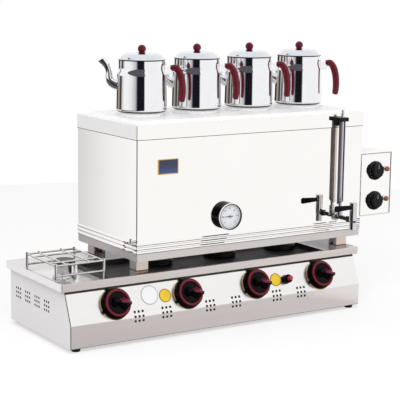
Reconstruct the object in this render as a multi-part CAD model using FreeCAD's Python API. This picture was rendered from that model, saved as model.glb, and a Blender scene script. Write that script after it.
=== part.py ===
"""Tea urn set: a rectangular water boiler with four teapots on its top, standing over a gas hob.

Units are millimetres. X runs to the right, Y to the back and Z up. Every size is drawn from the
point on the floor under the middle of the hob. The finished pieces are then moved so that the
origin is on the floor under the middle of the whole set.
"""
import FreeCAD, Part
import math
import os

V = FreeCAD.Vector
X_AXIS = V(1, 0, 0)
Y_AXIS = V(0, 1, 0)
Z_AXIS = V(0, 0, 1)

# Clearances and sheet thicknesses
RUN_CLEARANCE = 0.05
SLIP_CLEARANCE = 0.4
LIFT_CLEARANCE = 0.5
SHEET = 1.5
THIN_SHEET = 1.0

# Hob: outer rim, folded housing and its slanted front panel
HOB_LENGTH = 890.0
HOB_DEPTH = 310.0
FOOT_HEIGHT = 9.0
FOOT_DIAMETER = 24.0
FOOT_INSET_X = 22.0
FOOT_INSET_Y = 15.0
HOUSING_HEIGHT = 134.0
RIM_OVERHANG = 11.0
RIM_HEIGHT = 19.0
RIM_LEDGE = 6.0
PANEL_FOLD_HEIGHT = 56.0
PANEL_RUN = 32.0
TRAY_CORNER = 6.0

# Punched vents in the housing: groups of three by three square holes
VENT_HOLE = 5.0
VENT_PITCH = 11.0
VENT_ROWS = 3
VENT_FRONT_SPREAD = 39.0
VENT_FRONT_SHIFT = -3.0
VENT_FRONT_RISE = 0.8
VENT_SIDE_GROUPS = 4
VENT_SIDE_PITCH = 52.7
VENT_SIDE_CENTRE_Y = 27.0
VENT_SIDE_Z = 88.0

# Drip pan under the boiler
PAN_LEFT = -299.0
PAN_RIGHT = 350.0
PAN_FRONT_GAP = 1.5
PAN_WIDTH = 200.0
PAN_WALL_HEIGHT = 12.0
PAN_CORNER = 8.0

# Main gas burners
BURNER_COUNT = 3
BURNER_FIRST_X = -95.0
BURNER_PITCH = 196.0
BURNER_Y = 3.0
BURNER_BOWL_DIAMETER = 86.0
BURNER_BOWL_HEIGHT = 10.0
BURNER_NECK_DIAMETER = 52.0
BURNER_NECK_DEPTH = 42.0
BURNER_WALL = 3.0
BURNER_CAP_DIAMETER = 84.0
BURNER_CAP_HEIGHT = 8.0
BURNER_PORTS = 16
BURNER_PORT_WIDTH = 3.0
MIXER_DIAMETER = 18.0
MIXER_BORE = 13.0
MIXER_MOUTH_FLARE = 24.0
MIXER_MOUTH_LENGTH = 8.0
MIXER_MOUTH_Y = -112.0
JET_GAP = 3.0

# Coffee burner and the wire stand over it
COFFEE_X = -371.0
COFFEE_Y = -23.0
COFFEE_BASE_DIAMETER = 60.0
COFFEE_BASE_HEIGHT = 12.0
COFFEE_COLUMN_DIAMETER = 36.0
COFFEE_COLUMN_TOP = 38.0
COFFEE_BORE = 12.0
COFFEE_CAP_DIAMETER = 54.0
COFFEE_CAP_HEIGHT = 9.0
COFFEE_CAP_BORE = 26.0
STAND_LENGTH = 130.0
STAND_SHIFT = 2.5
STAND_DEPTH = 158.0
STAND_TOP_ABOVE_RIM = 36.0
STAND_WIRE = 5.0
STAND_CROSS_WIRE = 4.0
STAND_LEG_WIRE = 6.0
STAND_MID_HEIGHT = 26.0
STAND_OPENING = 58.0
STAND_PEG = 5.0
STAND_RAIL_SPREAD = 44.0

# Gas knobs, their escutcheons and the valves behind them
KNOB_COUNT = 4
KNOB_PITCH = 205.0
KNOB_Z = 101.0
BEZEL_DIAMETER = 79.0
BEZEL_THICKNESS = 2.0
BEZEL_TAB = 8.0
BEZEL_TAB_THICKNESS = 5.0
BEZEL_TAB_ANGLES = (112.0, 205.0)
KNOB_BASE_GAP = 0.5
KNOB_DIAMETER = 76.0
KNOB_FACE_DIAMETER = 70.0
KNOB_SKIRT_HEIGHT = 16.0
KNOB_RING_OUTER = 64.0
KNOB_RING_INNER = 48.0
KNOB_RING_HEIGHT = 2.5
KNOB_HUB_DIAMETER = 46.0
KNOB_HUB_HEIGHT = 8.0
KNOB_GRIP_HEIGHT = 12.0
KNOB_GRIP_WIDTH = 22.0
KNOB_GRIP_TAIL = 19.0
KNOB_GRIP_NOSE = 28.0
KNOB_GRIP_NOSE_WIDTH = 9.0
KNOB_POINTER_ANGLE = -14.0
SPINDLE_DIAMETER = 8.0
SPINDLE_LENGTH = 20.0
VALVE_DIAMETER = 20.0
VALVE_LENGTH = 26.0
VALVE_GAP = 5.0
VALVE_COLLAR_DIAMETER = 14.0
MANIFOLD_DIAMETER = 16.0
MANIFOLD_BORE = 12.0
MANIFOLD_END_MARGIN = 60.0
INLET_DIAMETER = 14.0
INLET_NIPPLE_DIAMETER = 21.0
INLET_NIPPLE_LENGTH = 18.0
JET_DIAMETER = 8.0
JET_BALL = 9.5

# Igniter on the slanted panel, placed from the middle of the gap between the last two knobs
IGNITER_SHIFT = -6.0
IGNITER_NUT_DIAMETER = 24.0
IGNITER_NUT_HEIGHT = 4.0
IGNITER_BARREL_DIAMETER = 22.0
IGNITER_BARREL_LENGTH = 14.0
IGNITER_REAR_DIAMETER = 18.0
IGNITER_REAR_LENGTH = 28.0
IGNITER_BUTTON_DIAMETER = 12.0
IGNITER_BUTTON_LENGTH = 10.0
IGNITER_BUTTON_STEM = 12.0
IGNITER_TRAVEL = 4.0

# Plain discs on the slanted panel, placed from the middles of the gaps between knobs
EMBLEM_SHIFT = -4.0
EMBLEM_Z = 110.0
EMBLEM_DIAMETER = 48.0
DISC_SHIFT_LEFT = 39.0
DISC_SHIFT_RIGHT = -37.0
DISC_Z = 104.0
DISC_DIAMETER = 34.0
DISC_THICKNESS = 1.0

# Boiler: outer shell, top cover, inner tank and legs
BOILER_LENGTH = 700.0
BOILER_DEPTH = 310.0
BOILER_LEFT = -231.0
BOILER_FRONT = -132.0
BOILER_BOTTOM = 188.0
BOILER_HEIGHT = 333.0
BOILER_CORNER = 3.0
COVER_SKIRT = 36.0
SHELL_FLANGE = 14.0
BEAD_COUNT = 3
BEAD_FIRST_HEIGHT = 22.0
BEAD_PITCH = 10.0
BEAD_WIDTH = 7.0
BEAD_DEPTH = 2.0
INNER_GAP = 13.0
INNER_BOTTOM_GAP = 8.0
PLATFORM_INSET = 25.0
PLATFORM_HEIGHT = 8.0
PLATFORM_CORNER = 20.0
PLATFORM_EDGE = 2.5
LEG_WIDTH = 33.0
LEG_THICKNESS = 3.0
LEG_INSET_RIGHT = 48.0
LEG_FRAME_DEPTH = 250.0
LEG_SCREW_HEIGHT = 26.0
LEG_BOLT_INSET = 10.0

# Seats for the teapots: collars drawn up out of the top cover
POT_COUNT = 4
POT_ROW_SHIFT = -1.0
POT_PITCH = 164.0
POT_ROW_Y = 23.0
SEAT_HEIGHT = 8.0
SEAT_OUTER = 57.0
SEAT_TOP_OUTER = 54.5
SEAT_BORE = 45.0

# Teapot
POT_TURN = -33.0
POT_HEIGHT = 130.0
POT_BASE_RADIUS = 55.0
POT_BELLY_RADIUS = 63.4
POT_WAIST_RADIUS = 61.8
POT_NECK_RADIUS = 57.6
POT_HEEL_HEIGHT = 12.0
POT_WAIST_HEIGHT = 92.0
POT_NECK_HEIGHT = 109.0
POT_WALL = 1.2
LID_OVERHANG = 2.0
LID_DOME_HEIGHT = 17.0
LID_SHOULDER_RADIUS = 41.0
LID_EDGE = 1.5
LID_PLUG_DEPTH = 7.0
LID_KNOB_RADIUS = 10.5
LID_KNOB_FOOT = 9.5
LID_KNOB_NECK = 6.5
LID_KNOB_RISE = 10.0
BRACKET_LOW = 94.0
BRACKET_HIGH = 115.0
BRACKET_REACH = 76.0
BRACKET_WIDTH = 14.0
BRACKET_TONGUE = 12.0
BRACKET_TONGUE_THICKNESS = 5.0
GRIP_DEPTH = 16.0
GRIP_WIDTH = 19.0
GRIP_LOW = 24.0
GRIP_ROOT_Z = 106.0
GRIP_CREST_X = 89.0
GRIP_CREST_Z = 107.0
GRIP_SHOULDER_X = 98.1
GRIP_SHOULDER_Z = 88.0
GRIP_BACK_X = 102.6
GRIP_END_X = 100.5
SPOUT_ROOT_X = 53.0
SPOUT_ROOT_Z = 62.0
SPOUT_ROOT_SIZE = 24.0
SPOUT_ELBOW = 3.0
SPOUT_REACH = 81.0
SPOUT_BEND_Z = 85.0
SPOUT_STRAIGHT_Z = 104.0
SPOUT_SIZE = 14.0
SPOUT_LIP_REACH = 101.0
SPOUT_LIP_Z = 130.0
SPOUT_LIP_SIZE = 18.0
SPOUT_LIP_WIDTH = 10.0
SPOUT_LIP_TILT = math.radians(26.0)

# Thermometer on the front of the boiler
THERMO_INSET = 262.0
THERMO_Z = 280.5
THERMO_DIAMETER = 69.0
THERMO_DEPTH = 22.0
THERMO_WALL = 2.0
THERMO_BEZEL = 3.5
THERMO_DIAL_SETBACK = 7.0
THERMO_GLASS = 1.5
THERMO_STEM_DIAMETER = 10.0
THERMO_STEM_LENGTH = 95.0
NEEDLE_LENGTH = 24.0
NEEDLE_TAIL = 9.0
NEEDLE_WIDTH = 3.0
NEEDLE_THICKNESS = 0.8
NEEDLE_HUB = 6.0
NEEDLE_PIN = 2.0
NEEDLE_GAP = 1.0

# Tap with its gauge glass
TAP_INSET = 85.0
TAP_Z = 248.0
TAP_REACH = 72.0
TAP_STEM_DIAMETER = 12.0
TAP_BORE = 7.0
TAP_FLANGE_DIAMETER = 26.0
TAP_FLANGE_THICKNESS = 3.0
TAP_NUT_FLATS = 16.0
TAP_BODY_DIAMETER = 20.0
TAP_BODY_TOP = 26.0
TAP_NOZZLE_DROP = 25.0
TAP_NOZZLE_DIAMETER = 18.0
PLUG_DIAMETER = 13.0
PLUG_DEPTH = 40.0
PLUG_CROWN = 21.0
LEVER_LENGTH = 62.0
LEVER_ROOT_HEIGHT = 11.0
LEVER_TIP_HEIGHT = 17.0
LEVER_THICKNESS = 6.0
GAUGE_REACH = 17.0
GAUGE_GLASS_DIAMETER = 9.0
GAUGE_GLASS_WALL = 1.2
GAUGE_SOCKET_DIAMETER = 15.0
GAUGE_SOCKET_TOP = 26.0
GAUGE_SOCKET_GRIP = 10.0
GAUGE_CLAMP_Z = 503.0
GAUGE_CLAMP_HEIGHT = 10.0
GAUGE_CLAMP_WIDTH = 28.0
GAUGE_CLAMP_NOSE = 9.0
GAUGE_PAD_WIDTH = 22.0
GAUGE_PAD_HEIGHT = 12.0
GAUGE_PAD_DEPTH = 8.0
GAUGE_VENT_DIAMETER = 8.0
GAUGE_VENT_TOP = 533.0
GUARD_LOW_Z = 282.0
GUARD_WIDTH = 13.0
GUARD_DEPTH = 10.0
GUARD_BEVEL = 10.0
TAP_BALL_DIAMETER = 22.0
TAP_NUT_LENGTH = 8.0
TAP_NUT_REACH = 50.0
PLUG_PORT = 7.0
LEVER_RISE = 2.5

# Electric control box on the right side
BOX_WIDTH = 106.5
BOX_DEPTH = 84.0
BOX_BOTTOM = 238.0
BOX_HEIGHT = 172.0
BOX_SHEET = 1.5
BOX_CORNER = 4.0
DIAL_X_IN_BOX = 47.5
DIAL_LOW_IN_BOX = 41.0
DIAL_PITCH = 82.0
DIAL_DIAMETER = 51.5
DIAL_SKIRT = 4.0
DIAL_HUB_DIAMETER = 38.0
DIAL_HEIGHT = 15.0
DIAL_GAP = 1.0
DIAL_SHAFT = 6.0
DIAL_FLUTES = 12
DIAL_FLUTE = 5.0
THERMOSTAT_SIZE = 44.0
THERMOSTAT_DEPTH = 32.0
LAMP_X_IN_BOX = 86.5
LAMP_RISE = 2.5
LAMP_DIAMETER = 15.0
LAMP_DOME = 9.0
LAMP_LENS_DIAMETER = 12.0
LAMP_BODY_LENGTH = 22.0
ELEMENT_COUNT = 2
ELEMENT_LOW_IN_BOX = 26.0
ELEMENT_PITCH = 70.0
ELEMENT_FLANGE = 48.0
ELEMENT_BOSS = 42.0
ELEMENT_ROD = 8.0
ELEMENT_LEGS = 30.0
ELEMENT_LENGTH = 420.0

# Badge, drain and fasteners
BADGE_INSET = 89.0
BADGE_Z = 417.0
BADGE_WIDTH = 58.5
BADGE_HEIGHT = 38.0
BADGE_THICKNESS = 1.2
BADGE_CORNER = 3.0
DRAIN_Y = -124.0
DRAIN_Z = 238.0
DRAIN_DIAMETER = 7.0
DRAIN_BORE = 4.0
DRAIN_REACH = 13.0
DRAIN_RISE = 8.0
BOLT_DIAMETER = 5.0
BOLT_HEAD_DIAMETER = 9.0
BOLT_HEAD_HEIGHT = 3.5
BOLT_LENGTH = 8.0

# Values worked out from the sizes above
HALF_LENGTH = HOB_LENGTH / 2
HALF_DEPTH = HOB_DEPTH / 2
HOUSING_BOTTOM = FOOT_HEIGHT
HOUSING_TOP = HOUSING_BOTTOM + HOUSING_HEIGHT
RIM_TOP = HOUSING_TOP + RIM_HEIGHT
TRAY_FLOOR = HOUSING_TOP + SHEET
HOUSING_HALF = HALF_LENGTH - RIM_OVERHANG
PANEL_TOP_Y = -(HALF_DEPTH - RIM_OVERHANG)
PANEL_FOLD_Y = PANEL_TOP_Y - PANEL_RUN
PANEL_FOLD_Z = HOUSING_BOTTOM + PANEL_FOLD_HEIGHT
PANEL_RISE = HOUSING_TOP - PANEL_FOLD_Z
PANEL_TILT = math.atan2(PANEL_RUN, PANEL_RISE)
PANEL_NORMAL = V(0, -math.cos(PANEL_TILT), math.sin(PANEL_TILT))
HOUSING_BACK_Y = HALF_DEPTH - RIM_OVERHANG / 4
TRAY_WALL = RIM_LEDGE + SHEET
PAN_FLOOR = TRAY_FLOOR + THIN_SHEET
PAN_FRONT = -HALF_DEPTH + TRAY_WALL + PAN_FRONT_GAP
BURNER_XS = [BURNER_FIRST_X + i * BURNER_PITCH for i in range(BURNER_COUNT)]
KNOB_XS = [(i - (KNOB_COUNT - 1) / 2) * KNOB_PITCH for i in range(KNOB_COUNT)]
KNOB_GAP_XS = [(left + right) / 2 for left, right in zip(KNOB_XS, KNOB_XS[1:])]
IGNITER_X = KNOB_GAP_XS[-1] + IGNITER_SHIFT
EMBLEM_X = KNOB_GAP_XS[0] + EMBLEM_SHIFT
DISC_XS = (KNOB_GAP_XS[0] + DISC_SHIFT_LEFT, KNOB_GAP_XS[-1] + DISC_SHIFT_RIGHT)
MIXER_Z = HOUSING_TOP - BURNER_NECK_DEPTH + MIXER_DIAMETER / 2 + BURNER_WALL
BOILER_RIGHT = BOILER_LEFT + BOILER_LENGTH
BOILER_BACK = BOILER_FRONT + BOILER_DEPTH
BOILER_TOP = BOILER_BOTTOM + BOILER_HEIGHT
SHELL_LEFT = BOILER_LEFT + SHEET
SHELL_FRONT = BOILER_FRONT + SHEET
SHELL_RIGHT = BOILER_RIGHT - SHEET
SHELL_BACK = BOILER_BACK - SHEET
PLATFORM_TOP = BOILER_TOP + PLATFORM_HEIGHT
SEAT_TOP = PLATFORM_TOP + SEAT_HEIGHT
INNER_LEFT = SHELL_LEFT + SHEET + INNER_GAP
INNER_FRONT = SHELL_FRONT + SHEET + INNER_GAP
INNER_RIGHT = SHELL_RIGHT - SHEET - INNER_GAP
INNER_BACK = SHELL_BACK - SHEET - INNER_GAP
INNER_BOTTOM = BOILER_BOTTOM + INNER_BOTTOM_GAP
POT_ROW_X = (BOILER_LEFT + BOILER_RIGHT) / 2 + POT_ROW_SHIFT
POT_XS = [POT_ROW_X + (i - (POT_COUNT - 1) / 2) * POT_PITCH for i in range(POT_COUNT)]
THERMO_X = BOILER_LEFT + THERMO_INSET
TAP_X = BOILER_RIGHT - TAP_INSET
BADGE_X = BOILER_LEFT + BADGE_INSET
BOX_LEFT = SHELL_RIGHT
BOX_FRONT = BOILER_FRONT
DIAL_ZS = [BOX_BOTTOM + DIAL_LOW_IN_BOX + i * DIAL_PITCH for i in range(2)]
ELEMENT_ZS = [BOX_BOTTOM + ELEMENT_LOW_IN_BOX + i * ELEMENT_PITCH for i in range(ELEMENT_COUNT)]


def box(x0, y0, z0, x1, y1, z1):
    """Box between two corners."""
    return Part.makeBox(x1 - x0, y1 - y0, z1 - z0, V(x0, y0, z0))


def cylinder(base, axis, diameter, length):
    """Cylinder that starts at base and runs along axis."""
    return Part.makeCylinder(diameter / 2, length, base, axis)


def rod_between(start, end, diameter):
    """Round rod between two points."""
    return Part.makeCylinder(diameter / 2, (end - start).Length, start, end - start)


def tube(base, axis, outer, bore, length):
    """Round tube that starts at base and runs along axis."""
    return cylinder(base, axis, outer, length).cut(cylinder(base, axis, bore, length))


def fuse(shapes):
    """One solid out of touching shapes, with split faces joined again."""
    first = shapes[0]
    if len(shapes) > 1:
        first = first.multiFuse(shapes[1:])
    return first.removeSplitter()


def cut(shape, tools):
    """Shape with every tool taken away."""
    for tool in tools:
        shape = shape.cut(tool)
    return shape


def edges_along(shape, direction):
    """Straight edges that run along a direction."""
    found = []
    for edge in shape.Edges:
        if isinstance(edge.Curve, Part.Line):
            run = (edge.Vertexes[-1].Point - edge.Vertexes[0].Point).normalize()
            if abs(abs(run.dot(direction)) - 1) < 1e-6:
                found.append(edge)
    return found


def rounded_box(x0, y0, z0, x1, y1, z1, radius):
    """Box with its upright edges rounded."""
    block = box(x0, y0, z0, x1, y1, z1)
    return block.makeFillet(radius, edges_along(block, Z_AXIS))


def revolve(points, centre):
    """Solid of revolution about the upright axis through centre, from radius and height pairs."""
    corners = [centre + V(r, 0, z) for r, z in points]
    wire = Part.makePolygon(corners + corners[:1])
    return Part.Face(wire).revolve(centre, Z_AXIS, 360)


def arc(a, b, c):
    """Arc edge through three points."""
    return Part.Arc(a, b, c).toShape()


def line(a, b):
    """Straight edge between two points."""
    return Part.LineSegment(a, b).toShape()


def panel_point(x, z, lift=0.0):
    """Point over the slanted panel at x and panel height z, lifted off it along its normal."""
    y = PANEL_TOP_Y - (HOUSING_TOP - z) * math.tan(PANEL_TILT)
    return V(x, y, z) + PANEL_NORMAL * lift


def on_panel(shape, x, z, lift=0.0):
    """Shape drawn with +Z as its outward axis, set on the slanted panel."""
    placed = shape.copy()
    placed.rotate(V(0, 0, 0), X_AXIS, 90 - math.degrees(PANEL_TILT))
    placed.translate(panel_point(x, z, lift))
    return placed


def vent_group(centre, along, up, through):
    """Square punches of one vent group, drawn as bars that run along the direction through."""
    punches = []
    offsets = [i - (VENT_ROWS - 1) / 2 for i in range(VENT_ROWS)]
    half = V(VENT_HOLE, VENT_HOLE, VENT_HOLE) / 2
    stretch = V(abs(through.x), abs(through.y), 0)
    for row in offsets:
        for column in offsets:
            middle = centre + along * (column * VENT_PITCH) + up * (row * VENT_PITCH)
            low = middle - half - stretch
            high = middle + half + stretch
            punches.append(box(low.x, low.y, low.z, high.x, high.y, high.z))
    return punches


def housing_profile(sheet, bottom, top):
    """Side outline of the housing between two heights, drawn a sheet thickness inside its outer faces."""
    slant = sheet / math.cos(PANEL_TILT)
    fold_drop = (PANEL_RUN + slant - sheet) / math.tan(PANEL_TILT)
    top_y = PANEL_TOP_Y + slant + (top - HOUSING_TOP) * math.tan(PANEL_TILT)
    corners = [
        V(0, HOUSING_BACK_Y - sheet, bottom),
        V(0, HOUSING_BACK_Y - sheet, top),
        V(0, top_y, top),
        V(0, PANEL_FOLD_Y + sheet, HOUSING_TOP - fold_drop),
        V(0, PANEL_FOLD_Y + sheet, bottom),
    ]
    return Part.Face(Part.makePolygon(corners + corners[:1]))


def manifold_centre(x):
    """Middle of the gas manifold at x, behind the valves."""
    depth = SHEET + VALVE_GAP + VALVE_LENGTH + MANIFOLD_DIAMETER / 2
    return panel_point(x, KNOB_Z, -depth)


def inlet_x():
    """Place along X of the gas inlet pipe at the manifold's right end."""
    return KNOB_XS[-1] + MANIFOLD_END_MARGIN


def valve_centre(x):
    """Middle of a gas valve's body."""
    return panel_point(x, KNOB_Z, -(SHEET + VALVE_GAP + VALVE_LENGTH / 2))


def build_hob_housing():
    """Folded housing with a slanted front panel, punched vents and knob holes."""
    outer = housing_profile(0, HOUSING_BOTTOM, HOUSING_TOP).extrude(X_AXIS * (2 * HOUSING_HALF))
    outer.translate(X_AXIS * -HOUSING_HALF)
    inner = housing_profile(SHEET, HOUSING_BOTTOM - SHEET, HOUSING_TOP + SHEET)
    inner = inner.extrude(X_AXIS * (2 * (HOUSING_HALF - SHEET)))
    inner.translate(X_AXIS * -(HOUSING_HALF - SHEET))
    shell = outer.cut(inner)
    punches = []
    for x in KNOB_XS:
        hole = cylinder(V(0, 0, -PANEL_RUN / 2), Z_AXIS, VALVE_COLLAR_DIAMETER + 2 * SLIP_CLEARANCE, PANEL_RUN)
        punches.append(on_panel(hole, x, KNOB_Z))
    hole = cylinder(V(0, 0, -PANEL_RUN / 2), Z_AXIS, IGNITER_REAR_DIAMETER + 2 * SLIP_CLEARANCE, PANEL_RUN)
    punches.append(on_panel(hole, IGNITER_X, KNOB_Z))
    front_y = PANEL_FOLD_Y
    for left, right in zip(KNOB_XS, KNOB_XS[1:]):
        for side in (-1, 1):
            x = (left + right) / 2 + VENT_FRONT_SHIFT + side * VENT_FRONT_SPREAD
            centre = V(x, front_y, PANEL_FOLD_Z + VENT_FRONT_RISE)
            punches += vent_group(centre, X_AXIS, Z_AXIS, Y_AXIS * (PANEL_RUN / 2))
    for side in (-1, 1):
        for i in range(VENT_SIDE_GROUPS):
            y = VENT_SIDE_CENTRE_Y + (i - (VENT_SIDE_GROUPS - 1) / 2) * VENT_SIDE_PITCH
            centre = V(side * HOUSING_HALF, y, VENT_SIDE_Z)
            punches += vent_group(centre, Y_AXIS, Z_AXIS, X_AXIS * (2 * SHEET))
    inlet = manifold_centre(inlet_x())
    punches.append(cylinder(inlet, Y_AXIS, INLET_DIAMETER + 2 * SLIP_CLEARANCE, HOB_DEPTH + PANEL_RUN))
    return shell.cut(Part.makeCompound(punches))


def build_hob_base_plate():
    """Bottom plate with turned-up lips that meet the housing's walls."""
    half = HOUSING_HALF - SHEET
    front = PANEL_FOLD_Y + SHEET
    back = HOUSING_BACK_Y - SHEET
    lip = RIM_HEIGHT / 2
    plate = box(-half, front, HOUSING_BOTTOM, half, back, HOUSING_BOTTOM + lip)
    hollow = box(-half + SHEET, front + SHEET, HOUSING_BOTTOM + SHEET, half - SHEET, back - SHEET, HOUSING_BOTTOM + lip)
    return plate.cut(hollow)


def build_hob_top():
    """Pressed top: a flat tray floor inside a raised rim that is folded over all round."""
    def ring(inset, z0, z1, radius):
        return rounded_box(-HALF_LENGTH + inset, -HALF_DEPTH + inset, z0, HALF_LENGTH - inset, HALF_DEPTH - inset, z1, radius)
    body = ring(0, HOUSING_TOP, RIM_TOP, BOILER_CORNER)
    recess = ring(TRAY_WALL, TRAY_FLOOR, RIM_TOP + SHEET, TRAY_CORNER)
    groove = ring(SHEET, HOUSING_TOP - SHEET, RIM_TOP - SHEET, SHEET)
    groove = groove.cut(ring(RIM_LEDGE, HOUSING_TOP - SHEET, RIM_TOP, TRAY_CORNER + SHEET))
    holes = burner_holes(HOUSING_TOP - SHEET, PAN_FLOOR)
    neck = V(COFFEE_X, COFFEE_Y, HOUSING_TOP - SHEET)
    holes.append(cylinder(neck, Z_AXIS, COFFEE_COLUMN_DIAMETER + 2 * LIFT_CLEARANCE, 4 * SHEET))
    return cut(body, [recess, groove] + holes)


def burner_holes(z0, z1):
    """Clearance holes for the necks of the main burners."""
    holes = []
    for x in BURNER_XS:
        holes.append(cylinder(V(x, BURNER_Y, z0), Z_AXIS, BURNER_NECK_DIAMETER + 2 * LIFT_CLEARANCE, z1 - z0 + SHEET))
    return holes


def build_drip_pan():
    """Shallow enamelled pan that lies on the tray floor round the main burners."""
    top = TRAY_FLOOR + PAN_WALL_HEIGHT
    back = PAN_FRONT + PAN_WIDTH
    body = rounded_box(PAN_LEFT, PAN_FRONT, TRAY_FLOOR, PAN_RIGHT, back, top, PAN_CORNER)
    t = THIN_SHEET
    hollow = rounded_box(PAN_LEFT + t, PAN_FRONT + t, PAN_FLOOR, PAN_RIGHT - t, back - t, top + t, PAN_CORNER - t)
    return cut(body, [hollow] + burner_holes(TRAY_FLOOR - SHEET, PAN_FLOOR))


def mixer_tube(start, mouth):
    """Outer form and bore of a burner's mixing tube, flared at its mouth."""
    run = mouth - start
    direction = V(run).normalize()
    flare_start = mouth - direction * MIXER_MOUTH_LENGTH
    outer = rod_between(start, mouth, MIXER_DIAMETER)
    flare = Part.makeCone(MIXER_DIAMETER / 2, MIXER_MOUTH_FLARE / 2, MIXER_MOUTH_LENGTH, flare_start, direction)
    bore = rod_between(start, mouth + direction, MIXER_BORE)
    wall = MIXER_DIAMETER - MIXER_BORE
    bell = Part.makeCone(MIXER_BORE / 2, (MIXER_MOUTH_FLARE - wall) / 2, MIXER_MOUTH_LENGTH, flare_start, direction)
    return outer.fuse(flare), bore.fuse(bell)


def build_main_burners():
    """Cast burners: a bowl on the pan, a neck through the tray and a mixing tube to the front."""
    bowl = BURNER_BOWL_DIAMETER / 2
    neck = BURNER_NECK_DIAMETER / 2
    low = HOUSING_TOP - BURNER_NECK_DEPTH
    top = PAN_FLOOR + BURNER_BOWL_HEIGHT
    wall = BURNER_WALL
    outer_points = [(0, low), (neck, low), (neck, PAN_FLOOR), (bowl - wall, PAN_FLOOR), (bowl, PAN_FLOOR + wall), (bowl, top), (0, top)]
    inner_points = [(0, low + wall), (neck - wall, low + wall), (neck - wall, PAN_FLOOR + wall), (bowl - wall, PAN_FLOOR + 2 * wall), (bowl - wall, top), (0, top)]
    burners = []
    for x in BURNER_XS:
        centre = V(x, BURNER_Y, 0)
        outer = revolve(outer_points, centre)
        inner = revolve(inner_points, centre)
        tube_outer, tube_bore = mixer_tube(V(x, BURNER_Y, MIXER_Z), V(x, MIXER_MOUTH_Y, MIXER_Z))
        body = outer.fuse(tube_outer).cut(inner.fuse(tube_bore))
        ports = []
        for i in range(BURNER_PORTS // 2):
            port = box(-bowl * 2, -BURNER_PORT_WIDTH / 2, top - wall, bowl * 2, BURNER_PORT_WIDTH / 2, top + wall)
            port.rotate(V(0, 0, 0), Z_AXIS, i * 360 / BURNER_PORTS)
            port.translate(centre)
            ports.append(port)
        burners.append(cut(body, ports))
    return Part.makeCompound(burners)


def build_burner_caps():
    """Domed caps that sit on the rims of the main burners."""
    seat = PAN_FLOOR + BURNER_BOWL_HEIGHT
    cap = BURNER_CAP_DIAMETER / 2
    plug = BURNER_BOWL_DIAMETER / 2 - BURNER_WALL - SLIP_CLEARANCE
    edge = BURNER_CAP_HEIGHT / 3
    points = [(0, seat - edge), (plug, seat - edge), (plug, seat), (cap, seat), (cap, seat + edge), (cap * 0.85, seat + 2 * edge), (cap * 0.3, seat + BURNER_CAP_HEIGHT), (0, seat + BURNER_CAP_HEIGHT)]
    return Part.makeCompound([revolve(points, V(x, BURNER_Y, 0)) for x in BURNER_XS])


def build_coffee_burner():
    """Polished column burner with its base flange and an angled mixing tube."""
    column = COFFEE_COLUMN_DIAMETER / 2
    base = COFFEE_BASE_DIAMETER / 2
    low = HOUSING_TOP - BURNER_NECK_DEPTH
    top = TRAY_FLOOR + COFFEE_COLUMN_TOP
    flange = TRAY_FLOOR + COFFEE_BASE_HEIGHT
    bore = COFFEE_BORE / 2
    cup = COFFEE_CAP_BORE / 2
    wall = BURNER_WALL
    outer_points = [(0, low), (column, low), (column, TRAY_FLOOR), (base, TRAY_FLOOR), (base, TRAY_FLOOR + wall), (column + wall, flange), (column, flange), (column, top), (0, top)]
    inner_points = [(0, low + wall), (bore, low + wall), (bore, top - COFFEE_CAP_HEIGHT), (cup, top - COFFEE_CAP_HEIGHT / 2), (cup, top), (0, top)]
    centre = V(COFFEE_X, COFFEE_Y, 0)
    start = V(COFFEE_X, COFFEE_Y, MIXER_Z)
    target = V(KNOB_XS[0], valve_centre(KNOB_XS[0]).y, MIXER_Z)
    direction = (target - start).normalize()
    mouth = target - direction * (MIXER_MOUTH_Y - target.y)
    tube_outer, tube_bore = mixer_tube(start, mouth)
    outer = revolve(outer_points, centre).fuse(tube_outer)
    return outer.cut(revolve(inner_points, centre).fuse(tube_bore)).removeSplitter()


def build_coffee_burner_cap():
    """Stepped cap that drops into the top of the coffee burner."""
    seat = TRAY_FLOOR + COFFEE_COLUMN_TOP
    cap = COFFEE_CAP_DIAMETER / 2
    plug = COFFEE_CAP_BORE / 2 - LIFT_CLEARANCE
    third = COFFEE_CAP_HEIGHT / 3
    points = [(0, seat - third), (plug, seat - third), (plug, seat), (cap, seat), (cap, seat + third), (cap * 0.6, seat + third * 1.3), (cap * 0.6, seat + 2 * third), (cap * 0.85, seat + 2 * third), (cap * 0.8, seat + COFFEE_CAP_HEIGHT), (0, seat + COFFEE_CAP_HEIGHT)]
    return revolve(points, V(COFFEE_X, COFFEE_Y, 0))


def build_pan_support():
    """Welded wire stand over the coffee burner: legs, two frames and cross rails."""
    left = COFFEE_X + STAND_SHIFT - STAND_LENGTH / 2
    right = left + STAND_LENGTH
    front = COFFEE_Y - STAND_DEPTH / 2
    back = COFFEE_Y + STAND_DEPTH / 2
    top = RIM_TOP + STAND_TOP_ABOVE_RIM - STAND_WIRE / 2
    levels = (TRAY_FLOOR + STAND_MID_HEIGHT, top)
    rods = []
    for x in (left, right):
        for y in (front, back):
            rods.append(rod_between(V(x, y, TRAY_FLOOR), V(x, y, top + STAND_PEG), STAND_LEG_WIRE))
        rods.append(rod_between(V(x, front, top), V(x, back, top), STAND_CROSS_WIRE))
    for y in (front, back):
        for z in levels:
            rods.append(rod_between(V(left, y, z), V(right, y, z), STAND_WIRE))
    for offset in (-STAND_RAIL_SPREAD, STAND_RAIL_SPREAD):
        y = COFFEE_Y + offset
        rods.append(rod_between(V(left, y, top), V(right, y, top), STAND_WIRE))
    inner = (STAND_OPENING + STAND_CROSS_WIRE) / 2
    for x in (COFFEE_X - inner, COFFEE_X + inner):
        rods.append(rod_between(V(x, front, top), V(x, back, top), STAND_CROSS_WIRE))
        for y in (front, back):
            peg = V(x, y, top)
            rods.append(rod_between(peg, peg + Z_AXIS * STAND_PEG, STAND_CROSS_WIRE))
    return fuse(rods)


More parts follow.
